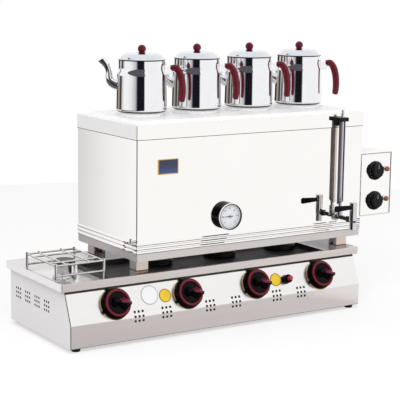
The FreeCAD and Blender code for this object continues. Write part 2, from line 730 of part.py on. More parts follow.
def build_gas_manifold():
    """Gas pipe behind the valves, with an inlet pipe that leaves through the back wall."""
    start = manifold_centre(KNOB_XS[0] - MANIFOLD_END_MARGIN / 2)
    corner = manifold_centre(inlet_x())
    wall_point = V(corner.x, HOUSING_BACK_Y, corner.z)
    inlet_end = wall_point + Y_AXIS * INLET_NIPPLE_LENGTH
    pipe = rod_between(start, corner, MANIFOLD_DIAMETER)
    elbow = Part.makeSphere(MANIFOLD_DIAMETER / 2, corner)
    inlet = rod_between(corner, wall_point, INLET_DIAMETER)
    nipple = rod_between(wall_point, inlet_end, INLET_NIPPLE_DIAMETER)
    outer = fuse([pipe, elbow, inlet, nipple])
    wall = MANIFOLD_DIAMETER - MANIFOLD_BORE
    bore = rod_between(start + X_AXIS * wall, corner, MANIFOLD_BORE)
    inlet_bore = rod_between(corner, inlet_end + Y_AXIS, INLET_DIAMETER - wall)
    return cut(outer, [bore, inlet_bore])


def build_gas_valves():
    """Brass valves saddled on the manifold, each with a jet that points into its mixing tube."""
    manifold = rod_between(manifold_centre(-HALF_LENGTH), manifold_centre(HALF_LENGTH), MANIFOLD_DIAMETER)
    coffee = V(COFFEE_X, COFFEE_Y, MIXER_Z)
    valves = []
    for i, x in enumerate(KNOB_XS):
        body_start = -(SHEET + VALVE_GAP)
        body = cylinder(V(0, 0, body_start - VALVE_LENGTH - MANIFOLD_DIAMETER / 4), Z_AXIS, VALVE_DIAMETER, VALVE_LENGTH + MANIFOLD_DIAMETER / 4)
        collar = cylinder(V(0, 0, body_start), Z_AXIS, VALVE_COLLAR_DIAMETER, SHEET + VALVE_GAP + THIN_SHEET)
        bore = cylinder(V(0, 0, -SPINDLE_LENGTH - THIN_SHEET), Z_AXIS, SPINDLE_DIAMETER + 2 * RUN_CLEARANCE, 2 * SPINDLE_LENGTH)
        valve = on_panel(body.fuse(collar), x, KNOB_Z)
        centre = valve_centre(x)
        jet_x = x if i == 0 else BURNER_XS[i - 1]
        elbow = V(jet_x, centre.y, centre.z)
        turn = V(jet_x, centre.y, MIXER_Z)
        aim = (coffee - turn).normalize() if i == 0 else Y_AXIS
        reach = (MIXER_MOUTH_Y - centre.y) - JET_GAP
        pieces = [valve, rod_between(elbow, turn, JET_DIAMETER), Part.makeSphere(JET_BALL / 2, turn), rod_between(turn, turn + aim * reach, JET_DIAMETER)]
        if abs(jet_x - x) > JET_DIAMETER / 4:
            pieces.append(rod_between(centre, elbow, JET_DIAMETER))
            pieces.append(Part.makeSphere(JET_BALL / 2, elbow))
        valves.append(cut(fuse(pieces), [on_panel(bore, x, KNOB_Z), manifold]))
    return Part.makeCompound(valves)


def build_knob_bezels():
    """Thin escutcheon rings on the panel, each with two small tabs on its left."""
    rings = []
    radius = BEZEL_DIAMETER / 2
    for x in KNOB_XS:
        ring = tube(V(0, 0, 0), Z_AXIS, BEZEL_DIAMETER, VALVE_COLLAR_DIAMETER + 2 * LIFT_CLEARANCE, BEZEL_THICKNESS)
        for angle in BEZEL_TAB_ANGLES:
            tab = box(radius - THIN_SHEET, -BEZEL_TAB / 2, 0, radius + BEZEL_TAB / 2, BEZEL_TAB / 2, BEZEL_TAB_THICKNESS)
            tab.rotate(V(0, 0, 0), Z_AXIS, angle)
            ring = ring.fuse(tab)
        rings.append(on_panel(ring.removeSplitter(), x, KNOB_Z))
    return Part.makeCompound(rings)


def build_gas_knob(x):
    """Gas knob: conical skirt, raised ring, hub and a winged grip, with the spindle it turns."""
    z0 = BEZEL_THICKNESS + KNOB_BASE_GAP
    z1 = z0 + KNOB_SKIRT_HEIGHT
    z2 = z1 + KNOB_HUB_HEIGHT
    ring = z1 + KNOB_RING_HEIGHT
    soft = KNOB_RING_HEIGHT / 2
    points = [(0, z0), (KNOB_DIAMETER / 2, z0), (KNOB_FACE_DIAMETER / 2, z1), (KNOB_RING_OUTER / 2, z1), (KNOB_RING_OUTER / 2 - soft, ring), (KNOB_RING_INNER / 2 + soft, ring), (KNOB_RING_INNER / 2, z1), (KNOB_HUB_DIAMETER / 2, z1), (KNOB_HUB_DIAMETER / 2 - soft, z2 - soft), (KNOB_HUB_DIAMETER / 2 - 2 * soft, z2), (0, z2)]
    body = revolve(points, V(0, 0, 0))
    half = KNOB_GRIP_WIDTH / 2
    nose = KNOB_GRIP_NOSE_WIDTH / 2
    outline = [V(-KNOB_GRIP_TAIL, -nose, z1), V(0, -half, z1), V(KNOB_GRIP_NOSE, -nose, z1), V(KNOB_GRIP_NOSE, nose, z1), V(0, half, z1), V(-KNOB_GRIP_TAIL, nose, z1)]
    ridge = [V(p.x * 0.9, p.y * 0.55, z2 + KNOB_GRIP_HEIGHT) for p in outline]
    grip = Part.makeLoft([Part.makePolygon(outline + outline[:1]), Part.makePolygon(ridge + ridge[:1])], True, True)
    spindle = cylinder(V(0, 0, -SPINDLE_LENGTH), Z_AXIS, SPINDLE_DIAMETER, SPINDLE_LENGTH + z1)
    knob = body.fuse(grip).fuse(spindle).removeSplitter()
    knob.rotate(V(0, 0, 0), Z_AXIS, KNOB_POINTER_ANGLE)
    return on_panel(knob, x, KNOB_Z)


def build_igniter_body():
    """Igniter barrel with its nut on the panel and its rear body inside the housing."""
    nut = cylinder(V(0, 0, 0), Z_AXIS, IGNITER_NUT_DIAMETER, IGNITER_NUT_HEIGHT)
    barrel = cylinder(V(0, 0, IGNITER_NUT_HEIGHT), Z_AXIS, IGNITER_BARREL_DIAMETER, IGNITER_BARREL_LENGTH)
    rear = cylinder(V(0, 0, -IGNITER_REAR_LENGTH), Z_AXIS, IGNITER_REAR_DIAMETER, IGNITER_REAR_LENGTH)
    face = IGNITER_NUT_HEIGHT + IGNITER_BARREL_LENGTH
    depth = IGNITER_BUTTON_STEM + IGNITER_TRAVEL + THIN_SHEET
    bore = cylinder(V(0, 0, face - depth), Z_AXIS, IGNITER_BUTTON_DIAMETER + 2 * SLIP_CLEARANCE, depth)
    return on_panel(fuse([nut, barrel, rear]).cut(bore), IGNITER_X, KNOB_Z)


def build_igniter_button():
    """Push button that slides in the igniter's barrel."""
    face = IGNITER_NUT_HEIGHT + IGNITER_BARREL_LENGTH
    button = cylinder(V(0, 0, face - IGNITER_BUTTON_STEM), Z_AXIS, IGNITER_BUTTON_DIAMETER, IGNITER_BUTTON_STEM + IGNITER_BUTTON_LENGTH)
    rim = [e for e in button.Edges if e.BoundBox.ZMin > face + IGNITER_BUTTON_LENGTH - THIN_SHEET]
    button = button.makeFillet(IGNITER_BUTTON_DIAMETER / 6, rim)
    return on_panel(button, IGNITER_X, KNOB_Z)


def build_panel_discs():
    """Three blank discs stuck on the slanted panel."""
    discs = [on_panel(cylinder(V(0, 0, 0), Z_AXIS, EMBLEM_DIAMETER, DISC_THICKNESS), EMBLEM_X, EMBLEM_Z)]
    for x in DISC_XS:
        discs.append(on_panel(cylinder(V(0, 0, 0), Z_AXIS, DISC_DIAMETER, DISC_THICKNESS), x, DISC_Z))
    return Part.makeCompound(discs)


def build_rubber_feet():
    """Four tapered feet under the base plate."""
    feet = []
    top = FOOT_DIAMETER / 2
    for x in (-HOUSING_HALF + FOOT_INSET_X, HOUSING_HALF - FOOT_INSET_X):
        for y in (PANEL_FOLD_Y + FOOT_INSET_Y, HOUSING_BACK_Y - FOOT_INSET_Y):
            feet.append(Part.makeCone(top * 0.85, top, FOOT_HEIGHT, V(x, y, 0)))
    return Part.makeCompound(feet)


def block(inset, z0, z1, radius):
    """Rounded block with the boiler's outline, drawn in by inset."""
    left = BOILER_LEFT + inset
    front = BOILER_FRONT + inset
    return rounded_box(left, front, z0, BOILER_RIGHT - inset, BOILER_BACK - inset, z1, radius)


def bead_block(z, inset):
    """Block with the boiler's outline whose long edges are bevelled, for one bead of the plinth."""
    half = BEAD_WIDTH / 2
    body = block(SHEET - BEAD_DEPTH + inset, z - half, z + half, BOILER_CORNER)
    edges = []
    for edge in body.Edges:
        bounds = edge.BoundBox
        if bounds.ZLength < 1e-6:
            edges.append(edge)
    return body.makeChamfer(BEAD_DEPTH, edges)


def element_centre(z):
    """Middle of a heating element's flange on the right wall of the shell."""
    return V(SHELL_RIGHT, BOX_FRONT + BOX_DEPTH / 2, z)


def wall_holes():
    """Holes through the shell and the tank for the tap, the thermometer and the elements."""
    reach = SHEET + INNER_GAP + 2 * SHEET
    tap = cylinder(V(TAP_X, BOILER_FRONT, TAP_Z), Y_AXIS, TAP_STEM_DIAMETER + 2 * SLIP_CLEARANCE, reach + SHEET)
    stem = cylinder(V(THERMO_X, BOILER_FRONT, THERMO_Z), Y_AXIS, THERMO_STEM_DIAMETER + 2 * SLIP_CLEARANCE, reach + SHEET)
    holes = [tap, stem]
    for z in ELEMENT_ZS:
        boss = ELEMENT_BOSS + 2 * SLIP_CLEARANCE
        holes.append(cylinder(element_centre(z), X_AXIS * -1, boss, reach + SHEET))
    return holes


def leg_corners():
    """Outer corner of each leg with its inward directions along X and Y and its foot height."""
    right = BOILER_RIGHT - LEG_INSET_RIGHT
    back = BOILER_FRONT + LEG_FRAME_DEPTH
    corners = []
    for x, along in ((BOILER_LEFT, 1), (right, -1)):
        for y, inward in ((BOILER_FRONT, 1), (back, -1)):
            on_pan = PAN_LEFT < x < PAN_RIGHT and y < PAN_FRONT + PAN_WIDTH
            corners.append((x, y, along, inward, PAN_FLOOR if on_pan else TRAY_FLOOR))
    return corners


def build_boiler_shell():
    """Outer jacket of the boiler with three beads along its foot and an inward bottom flange."""
    top = BOILER_TOP - SHEET - SLIP_CLEARANCE
    outer = block(SHEET, BOILER_BOTTOM, top, BOILER_CORNER)
    hollow = block(2 * SHEET, BOILER_BOTTOM + SHEET, BOILER_TOP, BOILER_CORNER / 2)
    throat = block(SHEET + SHELL_FLANGE, BOILER_BOTTOM - SHEET, BOILER_TOP, BOILER_CORNER)
    for i in range(BEAD_COUNT):
        z = BOILER_BOTTOM + BEAD_FIRST_HEIGHT + i * BEAD_PITCH
        outer = outer.fuse(bead_block(z, 0))
        hollow = hollow.fuse(bead_block(z, SHEET))
    drain = cylinder(V(SHELL_LEFT - SHEET, DRAIN_Y, DRAIN_Z), X_AXIS, DRAIN_DIAMETER + 2 * SLIP_CLEARANCE, 3 * SHEET)
    bolts = []
    for x, y, along, inward, foot in leg_corners():
        middle = V(x + along * LEG_BOLT_INSET, y + inward * LEG_BOLT_INSET, BOILER_BOTTOM - SHEET)
        bolts.append(cylinder(middle, Z_AXIS, BOLT_DIAMETER + 2 * SLIP_CLEARANCE, 3 * SHEET))
    return cut(outer, [hollow, throat, drain] + wall_holes() + bolts)


def build_boiler_top():
    """Top cover with a deep skirt, a raised platform and four collars drawn up for the teapots."""
    skirt = block(0, BOILER_TOP - COVER_SKIRT, BOILER_TOP, BOILER_CORNER)
    hollow = block(SHEET, BOILER_TOP - COVER_SKIRT - SHEET, BOILER_TOP - SHEET, BOILER_CORNER)
    platform = block(PLATFORM_INSET, BOILER_TOP - SHEET, PLATFORM_TOP, PLATFORM_CORNER)
    under = block(PLATFORM_INSET + SHEET, BOILER_TOP - 2 * SHEET, PLATFORM_TOP - SHEET, PLATFORM_CORNER - SHEET)
    ridge = [e for e in platform.Edges if e.BoundBox.ZMin > PLATFORM_TOP - 1e-6]
    platform = platform.makeFillet(PLATFORM_EDGE, ridge)
    outer = skirt.fuse(platform)
    tools = [hollow, under]
    for x in POT_XS:
        foot = V(x, POT_ROW_Y, PLATFORM_TOP)
        low = foot - Z_AXIS * (2 * SHEET)
        collar = Part.makeCone(SEAT_OUTER, SEAT_TOP_OUTER, SEAT_HEIGHT, foot)
        outer = outer.fuse(collar)
        tools.append(Part.makeCone(SEAT_OUTER - SHEET, SEAT_TOP_OUTER - SHEET, SEAT_HEIGHT, foot - Z_AXIS * SHEET))
        tools.append(cylinder(low, Z_AXIS, 2 * SEAT_BORE, SEAT_HEIGHT + 4 * SHEET))
    return cut(outer, tools)


def build_inner_tank():
    """Open water tank welded from flat plates, hung by a flange round its mouth."""
    t = SHEET
    top = BOILER_TOP - COVER_SKIRT / 2
    low = INNER_BOTTOM + t
    high = top - t
    holes = wall_holes()
    plates = [box(INNER_LEFT, INNER_FRONT, INNER_BOTTOM, INNER_RIGHT, INNER_BACK, low)]
    for y in (INNER_FRONT, INNER_BACK - t):
        plates.append(cut(box(INNER_LEFT, y, low, INNER_RIGHT, y + t, high), holes))
    for x in (INNER_LEFT, INNER_RIGHT - t):
        plates.append(cut(box(x, INNER_FRONT + t, low, x + t, INNER_BACK - t, high), holes))
    left = SHELL_LEFT + t
    front = SHELL_FRONT + t
    right = SHELL_RIGHT - t
    back = SHELL_BACK - t
    jacket = block(2 * SHEET, BOILER_BOTTOM, BOILER_TOP, BOILER_CORNER)
    plates.append(box(left, front, high, right, INNER_FRONT + t, top).common(jacket))
    plates.append(box(left, INNER_BACK - t, high, right, back, top).common(jacket))
    plates.append(box(left, INNER_FRONT + t, high, INNER_LEFT + t, INNER_BACK - t, top))
    plates.append(box(INNER_RIGHT - t, INNER_FRONT + t, high, right, INNER_BACK - t, top))
    return Part.makeCompound(plates)


def build_boiler_legs():
    """Four channel legs, each with a top plate under the boiler's bottom flange."""
    legs = []
    w = LEG_WIDTH
    t = LEG_THICKNESS
    for x, y, along, inward, foot in leg_corners():
        channel = box(0, 0, foot, w, w, BOILER_BOTTOM)
        pocket = box(t, t, foot - t, w - t, w + t, BOILER_BOTTOM - t)
        hole = cylinder(V(LEG_BOLT_INSET, LEG_BOLT_INSET, BOILER_BOTTOM - 2 * t), Z_AXIS, BOLT_DIAMETER, 3 * t)
        screw = cylinder(V(w - 2 * t, w / 2, foot + LEG_SCREW_HEIGHT), X_AXIS, BOLT_DIAMETER, 3 * t)
        legs.append(place_leg(cut(channel, [pocket, hole, screw]), x, y, along, inward))
    return Part.makeCompound(legs)


def place_leg(shape, x, y, along, inward):
    """Shape drawn for the front left leg, mirrored and moved to another corner."""
    placed = shape
    if along < 0:
        placed = placed.mirror(V(0, 0, 0), X_AXIS)
    if inward < 0:
        placed = placed.mirror(V(0, 0, 0), Y_AXIS)
    placed = placed.copy()
    placed.translate(V(x, y, 0))
    return placed


def bolt(head_base, axis):
    """Pan-head bolt whose head stands on head_base against axis, with a nut at its end."""
    head = cylinder(head_base, axis * -1, BOLT_HEAD_DIAMETER, BOLT_HEAD_HEIGHT)
    shank = cylinder(head_base, axis, BOLT_DIAMETER, BOLT_LENGTH)
    return head.fuse(shank)


def build_fasteners():
    """Bolts through the legs' top plates and screws through their inner sides, with nuts."""
    pieces = []
    t = LEG_THICKNESS
    w = LEG_WIDTH
    for x, y, along, inward, foot in leg_corners():
        up = bolt(V(LEG_BOLT_INSET, LEG_BOLT_INSET, BOILER_BOTTOM - t), Z_AXIS)
        nut_base = V(LEG_BOLT_INSET, LEG_BOLT_INSET, BOILER_BOTTOM + SHEET)
        nut = cylinder(nut_base, Z_AXIS, BOLT_HEAD_DIAMETER, BOLT_HEAD_HEIGHT)
        screw_z = foot + LEG_SCREW_HEIGHT
        across = bolt(V(w, w / 2, screw_z), X_AXIS * -1)
        lock = cylinder(V(w - t, w / 2, screw_z), X_AXIS * -1, BOLT_HEAD_DIAMETER, BOLT_HEAD_HEIGHT)
        for piece in (up.fuse(nut), across.fuse(lock)):
            pieces.append(place_leg(piece.removeSplitter(), x, y, along, inward))
    return Part.makeCompound(pieces)


def build_badge_plate():
    """Blank badge plate with rounded corners on the front of the shell."""
    half = BADGE_WIDTH / 2
    low = BADGE_Z - BADGE_HEIGHT / 2
    plate = box(BADGE_X - half, SHELL_FRONT - BADGE_THICKNESS, low, BADGE_X + half, SHELL_FRONT, low + BADGE_HEIGHT)
    return plate.makeFillet(BADGE_CORNER, edges_along(plate, Y_AXIS))


def build_drain_elbow():
    """Small bent outlet pipe on the left wall of the shell."""
    end = SHELL_LEFT - DRAIN_REACH
    def pipe(diameter, extra):
        run = rod_between(V(SHELL_LEFT + 2 * SHEET + extra, DRAIN_Y, DRAIN_Z), V(end, DRAIN_Y, DRAIN_Z), diameter)
        corner = Part.makeSphere(diameter / 2, V(end, DRAIN_Y, DRAIN_Z))
        rise = rod_between(V(end, DRAIN_Y, DRAIN_Z), V(end, DRAIN_Y, DRAIN_Z + DRAIN_RISE + extra), diameter)
        return run.fuse(corner).fuse(rise)
    return pipe(DRAIN_DIAMETER, 0).cut(pipe(DRAIN_BORE, SHEET)).removeSplitter()


def turned_front(points, x, z):
    """Solid of revolution about the line through x and z along Y, from radius and Y pairs."""
    corners = [V(x + r, y, z) for r, y in points]
    wire = Part.makePolygon(corners + corners[:1])
    return Part.Face(wire).revolve(V(x, 0, z), Y_AXIS, 360)


def build_thermometer_case():
    """Drum-shaped case with a bezel lip in front and a stem that reaches into the tank."""
    radius = THERMO_DIAMETER / 2
    front = SHELL_FRONT - THERMO_DEPTH
    wall = THERMO_WALL
    points = [(0, SHELL_FRONT), (radius - wall, SHELL_FRONT), (radius, SHELL_FRONT - wall), (radius, front + wall), (radius - wall / 2, front), (radius - THERMO_BEZEL, front), (radius - THERMO_BEZEL, front + wall), (radius - wall, front + wall), (radius - wall, SHELL_FRONT - wall), (0, SHELL_FRONT - wall)]
    case = turned_front(points, THERMO_X, THERMO_Z)
    stem = cylinder(V(THERMO_X, SHELL_FRONT - wall, THERMO_Z), Y_AXIS, THERMO_STEM_DIAMETER, THERMO_STEM_LENGTH + wall)
    return case.fuse(stem).removeSplitter()


def dial_front():
    """Place along Y of the thermometer dial's face."""
    return SHELL_FRONT - THERMO_DEPTH + THERMO_DIAL_SETBACK


def build_thermometer_dial():
    """Dial disc with a hole for the needle's pin."""
    y = dial_front()
    diameter = THERMO_DIAMETER - 2 * THERMO_WALL
    disc = cylinder(V(THERMO_X, y, THERMO_Z), Y_AXIS, diameter, THIN_SHEET)
    return disc.cut(cylinder(V(THERMO_X, y - SHEET, THERMO_Z), Y_AXIS, NEEDLE_PIN + 2 * RUN_CLEARANCE, 3 * SHEET))


def build_thermometer_needle():
    """Needle with a hub and a pin that turns in the dial."""
    y = dial_front() - NEEDLE_GAP
    front = y - NEEDLE_THICKNESS
    half = NEEDLE_WIDTH / 2
    outline = [V(THERMO_X - NEEDLE_LENGTH, y, THERMO_Z), V(THERMO_X, y, THERMO_Z + half), V(THERMO_X + NEEDLE_TAIL, y, THERMO_Z + half), V(THERMO_X + NEEDLE_TAIL, y, THERMO_Z - half), V(THERMO_X, y, THERMO_Z - half)]
    blade = Part.Face(Part.makePolygon(outline + outline[:1])).extrude(V(0, -NEEDLE_THICKNESS, 0))
    hub = cylinder(V(THERMO_X, front - NEEDLE_THICKNESS / 2, THERMO_Z), Y_AXIS, NEEDLE_HUB, NEEDLE_THICKNESS * 1.5)
    pin = cylinder(V(THERMO_X, front, THERMO_Z), Y_AXIS, NEEDLE_PIN, NEEDLE_THICKNESS + NEEDLE_GAP + THIN_SHEET * 2)
    return blade.fuse(hub).fuse(pin).removeSplitter()


def build_thermometer_glass():
    """Flat glass behind the bezel's lip."""
    y = SHELL_FRONT - THERMO_DEPTH + THERMO_WALL
    return cylinder(V(THERMO_X, y, THERMO_Z), Y_AXIS, THERMO_DIAMETER - 2 * THERMO_WALL, THERMO_GLASS)


def tap_axis_y():
    """Place along Y of the tap's upright axis."""
    return SHELL_FRONT - TAP_REACH


def gauge_axis_y():
    """Place along Y of the gauge glass's upright axis."""
    return SHELL_FRONT - GAUGE_REACH


def build_tap_body():
    """Tap casting: wall flange, stem with the gauge socket, union nut, body and nozzle."""
    ty = tap_axis_y()
    gy = gauge_axis_y()
    inner_end = SHELL_FRONT + 2 * SHEET + INNER_GAP + SHEET
    flange = cylinder(V(TAP_X, SHELL_FRONT - TAP_FLANGE_THICKNESS, TAP_Z), Y_AXIS, TAP_FLANGE_DIAMETER, TAP_FLANGE_THICKNESS)
    stem = rod_between(V(TAP_X, ty, TAP_Z), V(TAP_X, inner_end, TAP_Z), TAP_STEM_DIAMETER)
    dome = Part.makeSphere(TAP_BALL_DIAMETER / 2, V(TAP_X, SHELL_FRONT, TAP_Z))
    outside = TAP_BALL_DIAMETER
    dome = dome.common(box(TAP_X - outside, SHELL_FRONT - outside, TAP_Z - outside, TAP_X + outside, SHELL_FRONT, TAP_Z + outside))
    socket = cylinder(V(TAP_X, gy, TAP_Z), Z_AXIS, GAUGE_SOCKET_DIAMETER, GAUGE_SOCKET_TOP)
    corner = TAP_NUT_FLATS / math.sqrt(3)
    hexagon = []
    for i in range(7):
        angle = math.radians(60 * i)
        hexagon.append(V(TAP_X + corner * math.cos(angle), SHELL_FRONT - TAP_NUT_REACH, TAP_Z + corner * math.sin(angle)))
    nut = Part.Face(Part.makePolygon(hexagon)).extrude(V(0, -TAP_NUT_LENGTH, 0))
    low = TAP_Z - TAP_NOZZLE_DROP
    body_low = TAP_Z - TAP_STEM_DIAMETER / 2 - THIN_SHEET
    points = [(0, low), (TAP_NOZZLE_DIAMETER / 2, low), (TAP_NOZZLE_DIAMETER / 2, body_low), (TAP_BODY_DIAMETER / 2, TAP_Z), (TAP_BODY_DIAMETER / 2, TAP_Z + TAP_BODY_TOP), (0, TAP_Z + TAP_BODY_TOP)]
    body = revolve(points, V(TAP_X, ty, 0))
    casting = fuse([body, stem, dome, socket, flange, nut])
    plug_low = TAP_Z + TAP_BODY_TOP - PLUG_DEPTH
    plug_bore = cylinder(V(TAP_X, ty, plug_low), Z_AXIS, PLUG_DIAMETER + 2 * RUN_CLEARANCE, PLUG_DEPTH + SHEET)
    nozzle_bore = cylinder(V(TAP_X, ty, low - SHEET), Z_AXIS, TAP_BORE, PLUG_DEPTH)
    stem_bore = rod_between(V(TAP_X, ty, TAP_Z), V(TAP_X, inner_end + SHEET, TAP_Z), TAP_BORE)
    glass_seat = TAP_Z + GAUGE_SOCKET_TOP - GAUGE_SOCKET_GRIP
    glass_bore = cylinder(V(TAP_X, gy, glass_seat), Z_AXIS, GAUGE_GLASS_DIAMETER, GAUGE_SOCKET_GRIP + SHEET)
    riser = cylinder(V(TAP_X, gy, TAP_Z), Z_AXIS, TAP_BORE, GAUGE_SOCKET_TOP)
    return cut(casting, [plug_bore, nozzle_bore, stem_bore, glass_bore, riser])


def build_tap_plug():
    """Plug that turns in the tap's body: its side port meets the stem when the lever is forward."""
    ty = tap_axis_y()
    top = TAP_Z + TAP_BODY_TOP
    low = top - PLUG_DEPTH
    crown = top + PLUG_CROWN
    cap = TAP_BODY_DIAMETER / 2
    radius = PLUG_DIAMETER / 2
    points = [(0, low), (radius, low), (radius, top + THIN_SHEET), (cap, top + THIN_SHEET), (cap, crown - THIN_SHEET), (cap - THIN_SHEET, crown), (0, crown)]
    plug = revolve(points, V(TAP_X, ty, 0))
    side = cylinder(V(TAP_X, ty, TAP_Z), X_AXIS, PLUG_PORT, PLUG_DIAMETER)
    down = cylinder(V(TAP_X, ty, low - THIN_SHEET), Z_AXIS, PLUG_PORT, TAP_Z - low + THIN_SHEET)
    slot = lever_root(LEVER_THICKNESS)
    return cut(plug, [side, down, slot])


def lever_root(thickness):
    """Block that stands for the lever's root where it enters the plug's crown."""
    ty = tap_axis_y()
    z = TAP_Z + TAP_BODY_TOP + LEVER_RISE
    half = thickness / 2
    return box(TAP_X - TAP_BODY_DIAMETER, ty - half, z, TAP_X, ty + half, z + LEVER_ROOT_HEIGHT)


def build_tap_lever():
    """Flat lever that widens towards its tip."""
    ty = tap_axis_y()
    z = TAP_Z + TAP_BODY_TOP + LEVER_RISE
    end = TAP_X - LEVER_LENGTH
    rise = LEVER_TIP_HEIGHT - LEVER_ROOT_HEIGHT
    edge = TAP_X - TAP_BODY_DIAMETER / 2
    half = LEVER_THICKNESS / 2
    outline = [V(TAP_X, ty - half, z), V(edge, ty - half, z), V(end, ty - half, z - rise / 2), V(end, ty - half, z + LEVER_ROOT_HEIGHT + rise / 2), V(edge, ty - half, z + LEVER_ROOT_HEIGHT), V(TAP_X, ty - half, z + LEVER_ROOT_HEIGHT)]
    blade = Part.Face(Part.makePolygon(outline + outline[:1])).extrude(V(0, LEVER_THICKNESS, 0))
    tip = [e for e in edges_along(blade, Y_AXIS) if e.BoundBox.XMax < end + THIN_SHEET]
    return blade.makeFillet(LEVER_TIP_HEIGHT / 3, tip)


def build_gauge_glass():
    """Gauge glass between the tap's socket and the clamp."""
    low = TAP_Z + GAUGE_SOCKET_TOP - GAUGE_SOCKET_GRIP
    high = GAUGE_CLAMP_Z + GAUGE_CLAMP_HEIGHT / 2
    bore = GAUGE_GLASS_DIAMETER - 2 * GAUGE_GLASS_WALL
    return tube(V(TAP_X, gauge_axis_y(), low), Z_AXIS, GAUGE_GLASS_DIAMETER, bore, high - low)


def build_gauge_guard():
    """Channel that shields the back and the sides of the gauge glass, bevelled at its foot."""
    gy = gauge_axis_y()
    half = GUARD_WIDTH / 2
    front = gy - GUARD_DEPTH / 2
    back = gy + GUARD_DEPTH / 2 + THIN_SHEET
    channel = box(TAP_X - half, front, GUARD_LOW_Z, TAP_X + half, back, GAUGE_CLAMP_Z)
    inner = box(TAP_X - half + THIN_SHEET, front - THIN_SHEET, GUARD_LOW_Z - THIN_SHEET, TAP_X + half - THIN_SHEET, back - THIN_SHEET, GAUGE_CLAMP_Z + THIN_SHEET)
    corner = [V(-HALF_LENGTH, front - THIN_SHEET, GUARD_LOW_Z - THIN_SHEET), V(-HALF_LENGTH, back, GUARD_LOW_Z - THIN_SHEET), V(-HALF_LENGTH, front - THIN_SHEET, GUARD_LOW_Z + GUARD_BEVEL)]
    wedge = Part.Face(Part.makePolygon(corner + corner[:1])).extrude(X_AXIS * HOB_LENGTH)
    return cut(channel, [inner, wedge])


def build_gauge_clamp():
    """Clamp plate on a pad on the cover's skirt that holds the glass, the guard and the vent."""
    gy = gauge_axis_y()
    base = V(TAP_X, gy, GAUGE_CLAMP_Z)
    half = GAUGE_CLAMP_WIDTH / 2
    top = GAUGE_CLAMP_Z + GAUGE_CLAMP_HEIGHT
    plate = box(TAP_X - half, gy - GAUGE_CLAMP_NOSE, GAUGE_CLAMP_Z, TAP_X + half, BOILER_FRONT, top)
    half = GAUGE_PAD_WIDTH / 2
    low = GAUGE_CLAMP_Z - GAUGE_PAD_HEIGHT
    pad = box(TAP_X - half, BOILER_FRONT - GAUGE_PAD_DEPTH, low, TAP_X + half, BOILER_FRONT, GAUGE_CLAMP_Z)
    glass = cylinder(base - Z_AXIS, Z_AXIS, GAUGE_GLASS_DIAMETER, GAUGE_CLAMP_HEIGHT / 2 + 1)
    vent = cylinder(base, Z_AXIS, GAUGE_VENT_DIAMETER, GAUGE_CLAMP_HEIGHT + SHEET)
    return cut(plate.fuse(pad).removeSplitter(), [glass, vent])


def build_gauge_vent():
    """Short vent tube that stands on top of the gauge glass."""
    low = GAUGE_CLAMP_Z + GAUGE_CLAMP_HEIGHT / 2
    bore = GAUGE_VENT_DIAMETER - 2 * THIN_SHEET
    return tube(V(TAP_X, gauge_axis_y(), low), Z_AXIS, GAUGE_VENT_DIAMETER, bore, GAUGE_VENT_TOP - low)


def dial_x():
    """Place along X of the thermostat dials."""
    return BOX_LEFT + DIAL_X_IN_BOX


def lamp_x():
    """Place along X of the pilot lamps."""
    return BOX_LEFT + LAMP_X_IN_BOX


def build_control_box():
    """Folded box on the shell's right wall, open towards the shell."""
    t = BOX_SHEET
    right = BOX_LEFT + BOX_WIDTH
    back = BOX_FRONT + BOX_DEPTH
    top = BOX_BOTTOM + BOX_HEIGHT
    body = box(BOX_LEFT, BOX_FRONT, BOX_BOTTOM, right, back, top)
    front_edges = [e for e in edges_along(body, X_AXIS) + edges_along(body, Z_AXIS) if e.BoundBox.YMax < BOX_FRONT + t and e.BoundBox.XMax > right - t]
    body = body.makeFillet(BOX_CORNER, front_edges)
    hollow = box(BOX_LEFT - t, BOX_FRONT + t, BOX_BOTTOM + t, right - t, back - t, top - t)
    inner_edges = [e for e in edges_along(hollow, X_AXIS) + edges_along(hollow, Z_AXIS) if e.BoundBox.YMax < BOX_FRONT + 2 * t and e.BoundBox.XMax > right - 2 * t]
    hollow = hollow.makeFillet(BOX_CORNER - t, inner_edges)
    holes = []
    for z in DIAL_ZS:
        holes.append(cylinder(V(dial_x(), BOX_FRONT - t, z), Y_AXIS, DIAL_SHAFT + 2 * SLIP_CLEARANCE, 3 * t))
        holes.append(cylinder(V(lamp_x(), BOX_FRONT - t, z + LAMP_RISE), Y_AXIS, LAMP_LENS_DIAMETER, 3 * t))
    return cut(body, [hollow] + holes)


def build_thermostats():
    """Two thermostat bodies behind the front of the control box."""
    bodies = []
    half = THERMOSTAT_SIZE / 2
    y = BOX_FRONT + BOX_SHEET
    for z in DIAL_ZS:
        body = box(dial_x() - half, y, z - half, dial_x() + half, y + THERMOSTAT_DEPTH, z + half)
        body = body.makeFillet(BOX_CORNER, edges_along(body, Y_AXIS))
        bodies.append(body.cut(cylinder(V(dial_x(), y - BOX_SHEET, z), Y_AXIS, DIAL_SHAFT + 2 * RUN_CLEARANCE, THERMOSTAT_DEPTH / 2)))
    return Part.makeCompound(bodies)


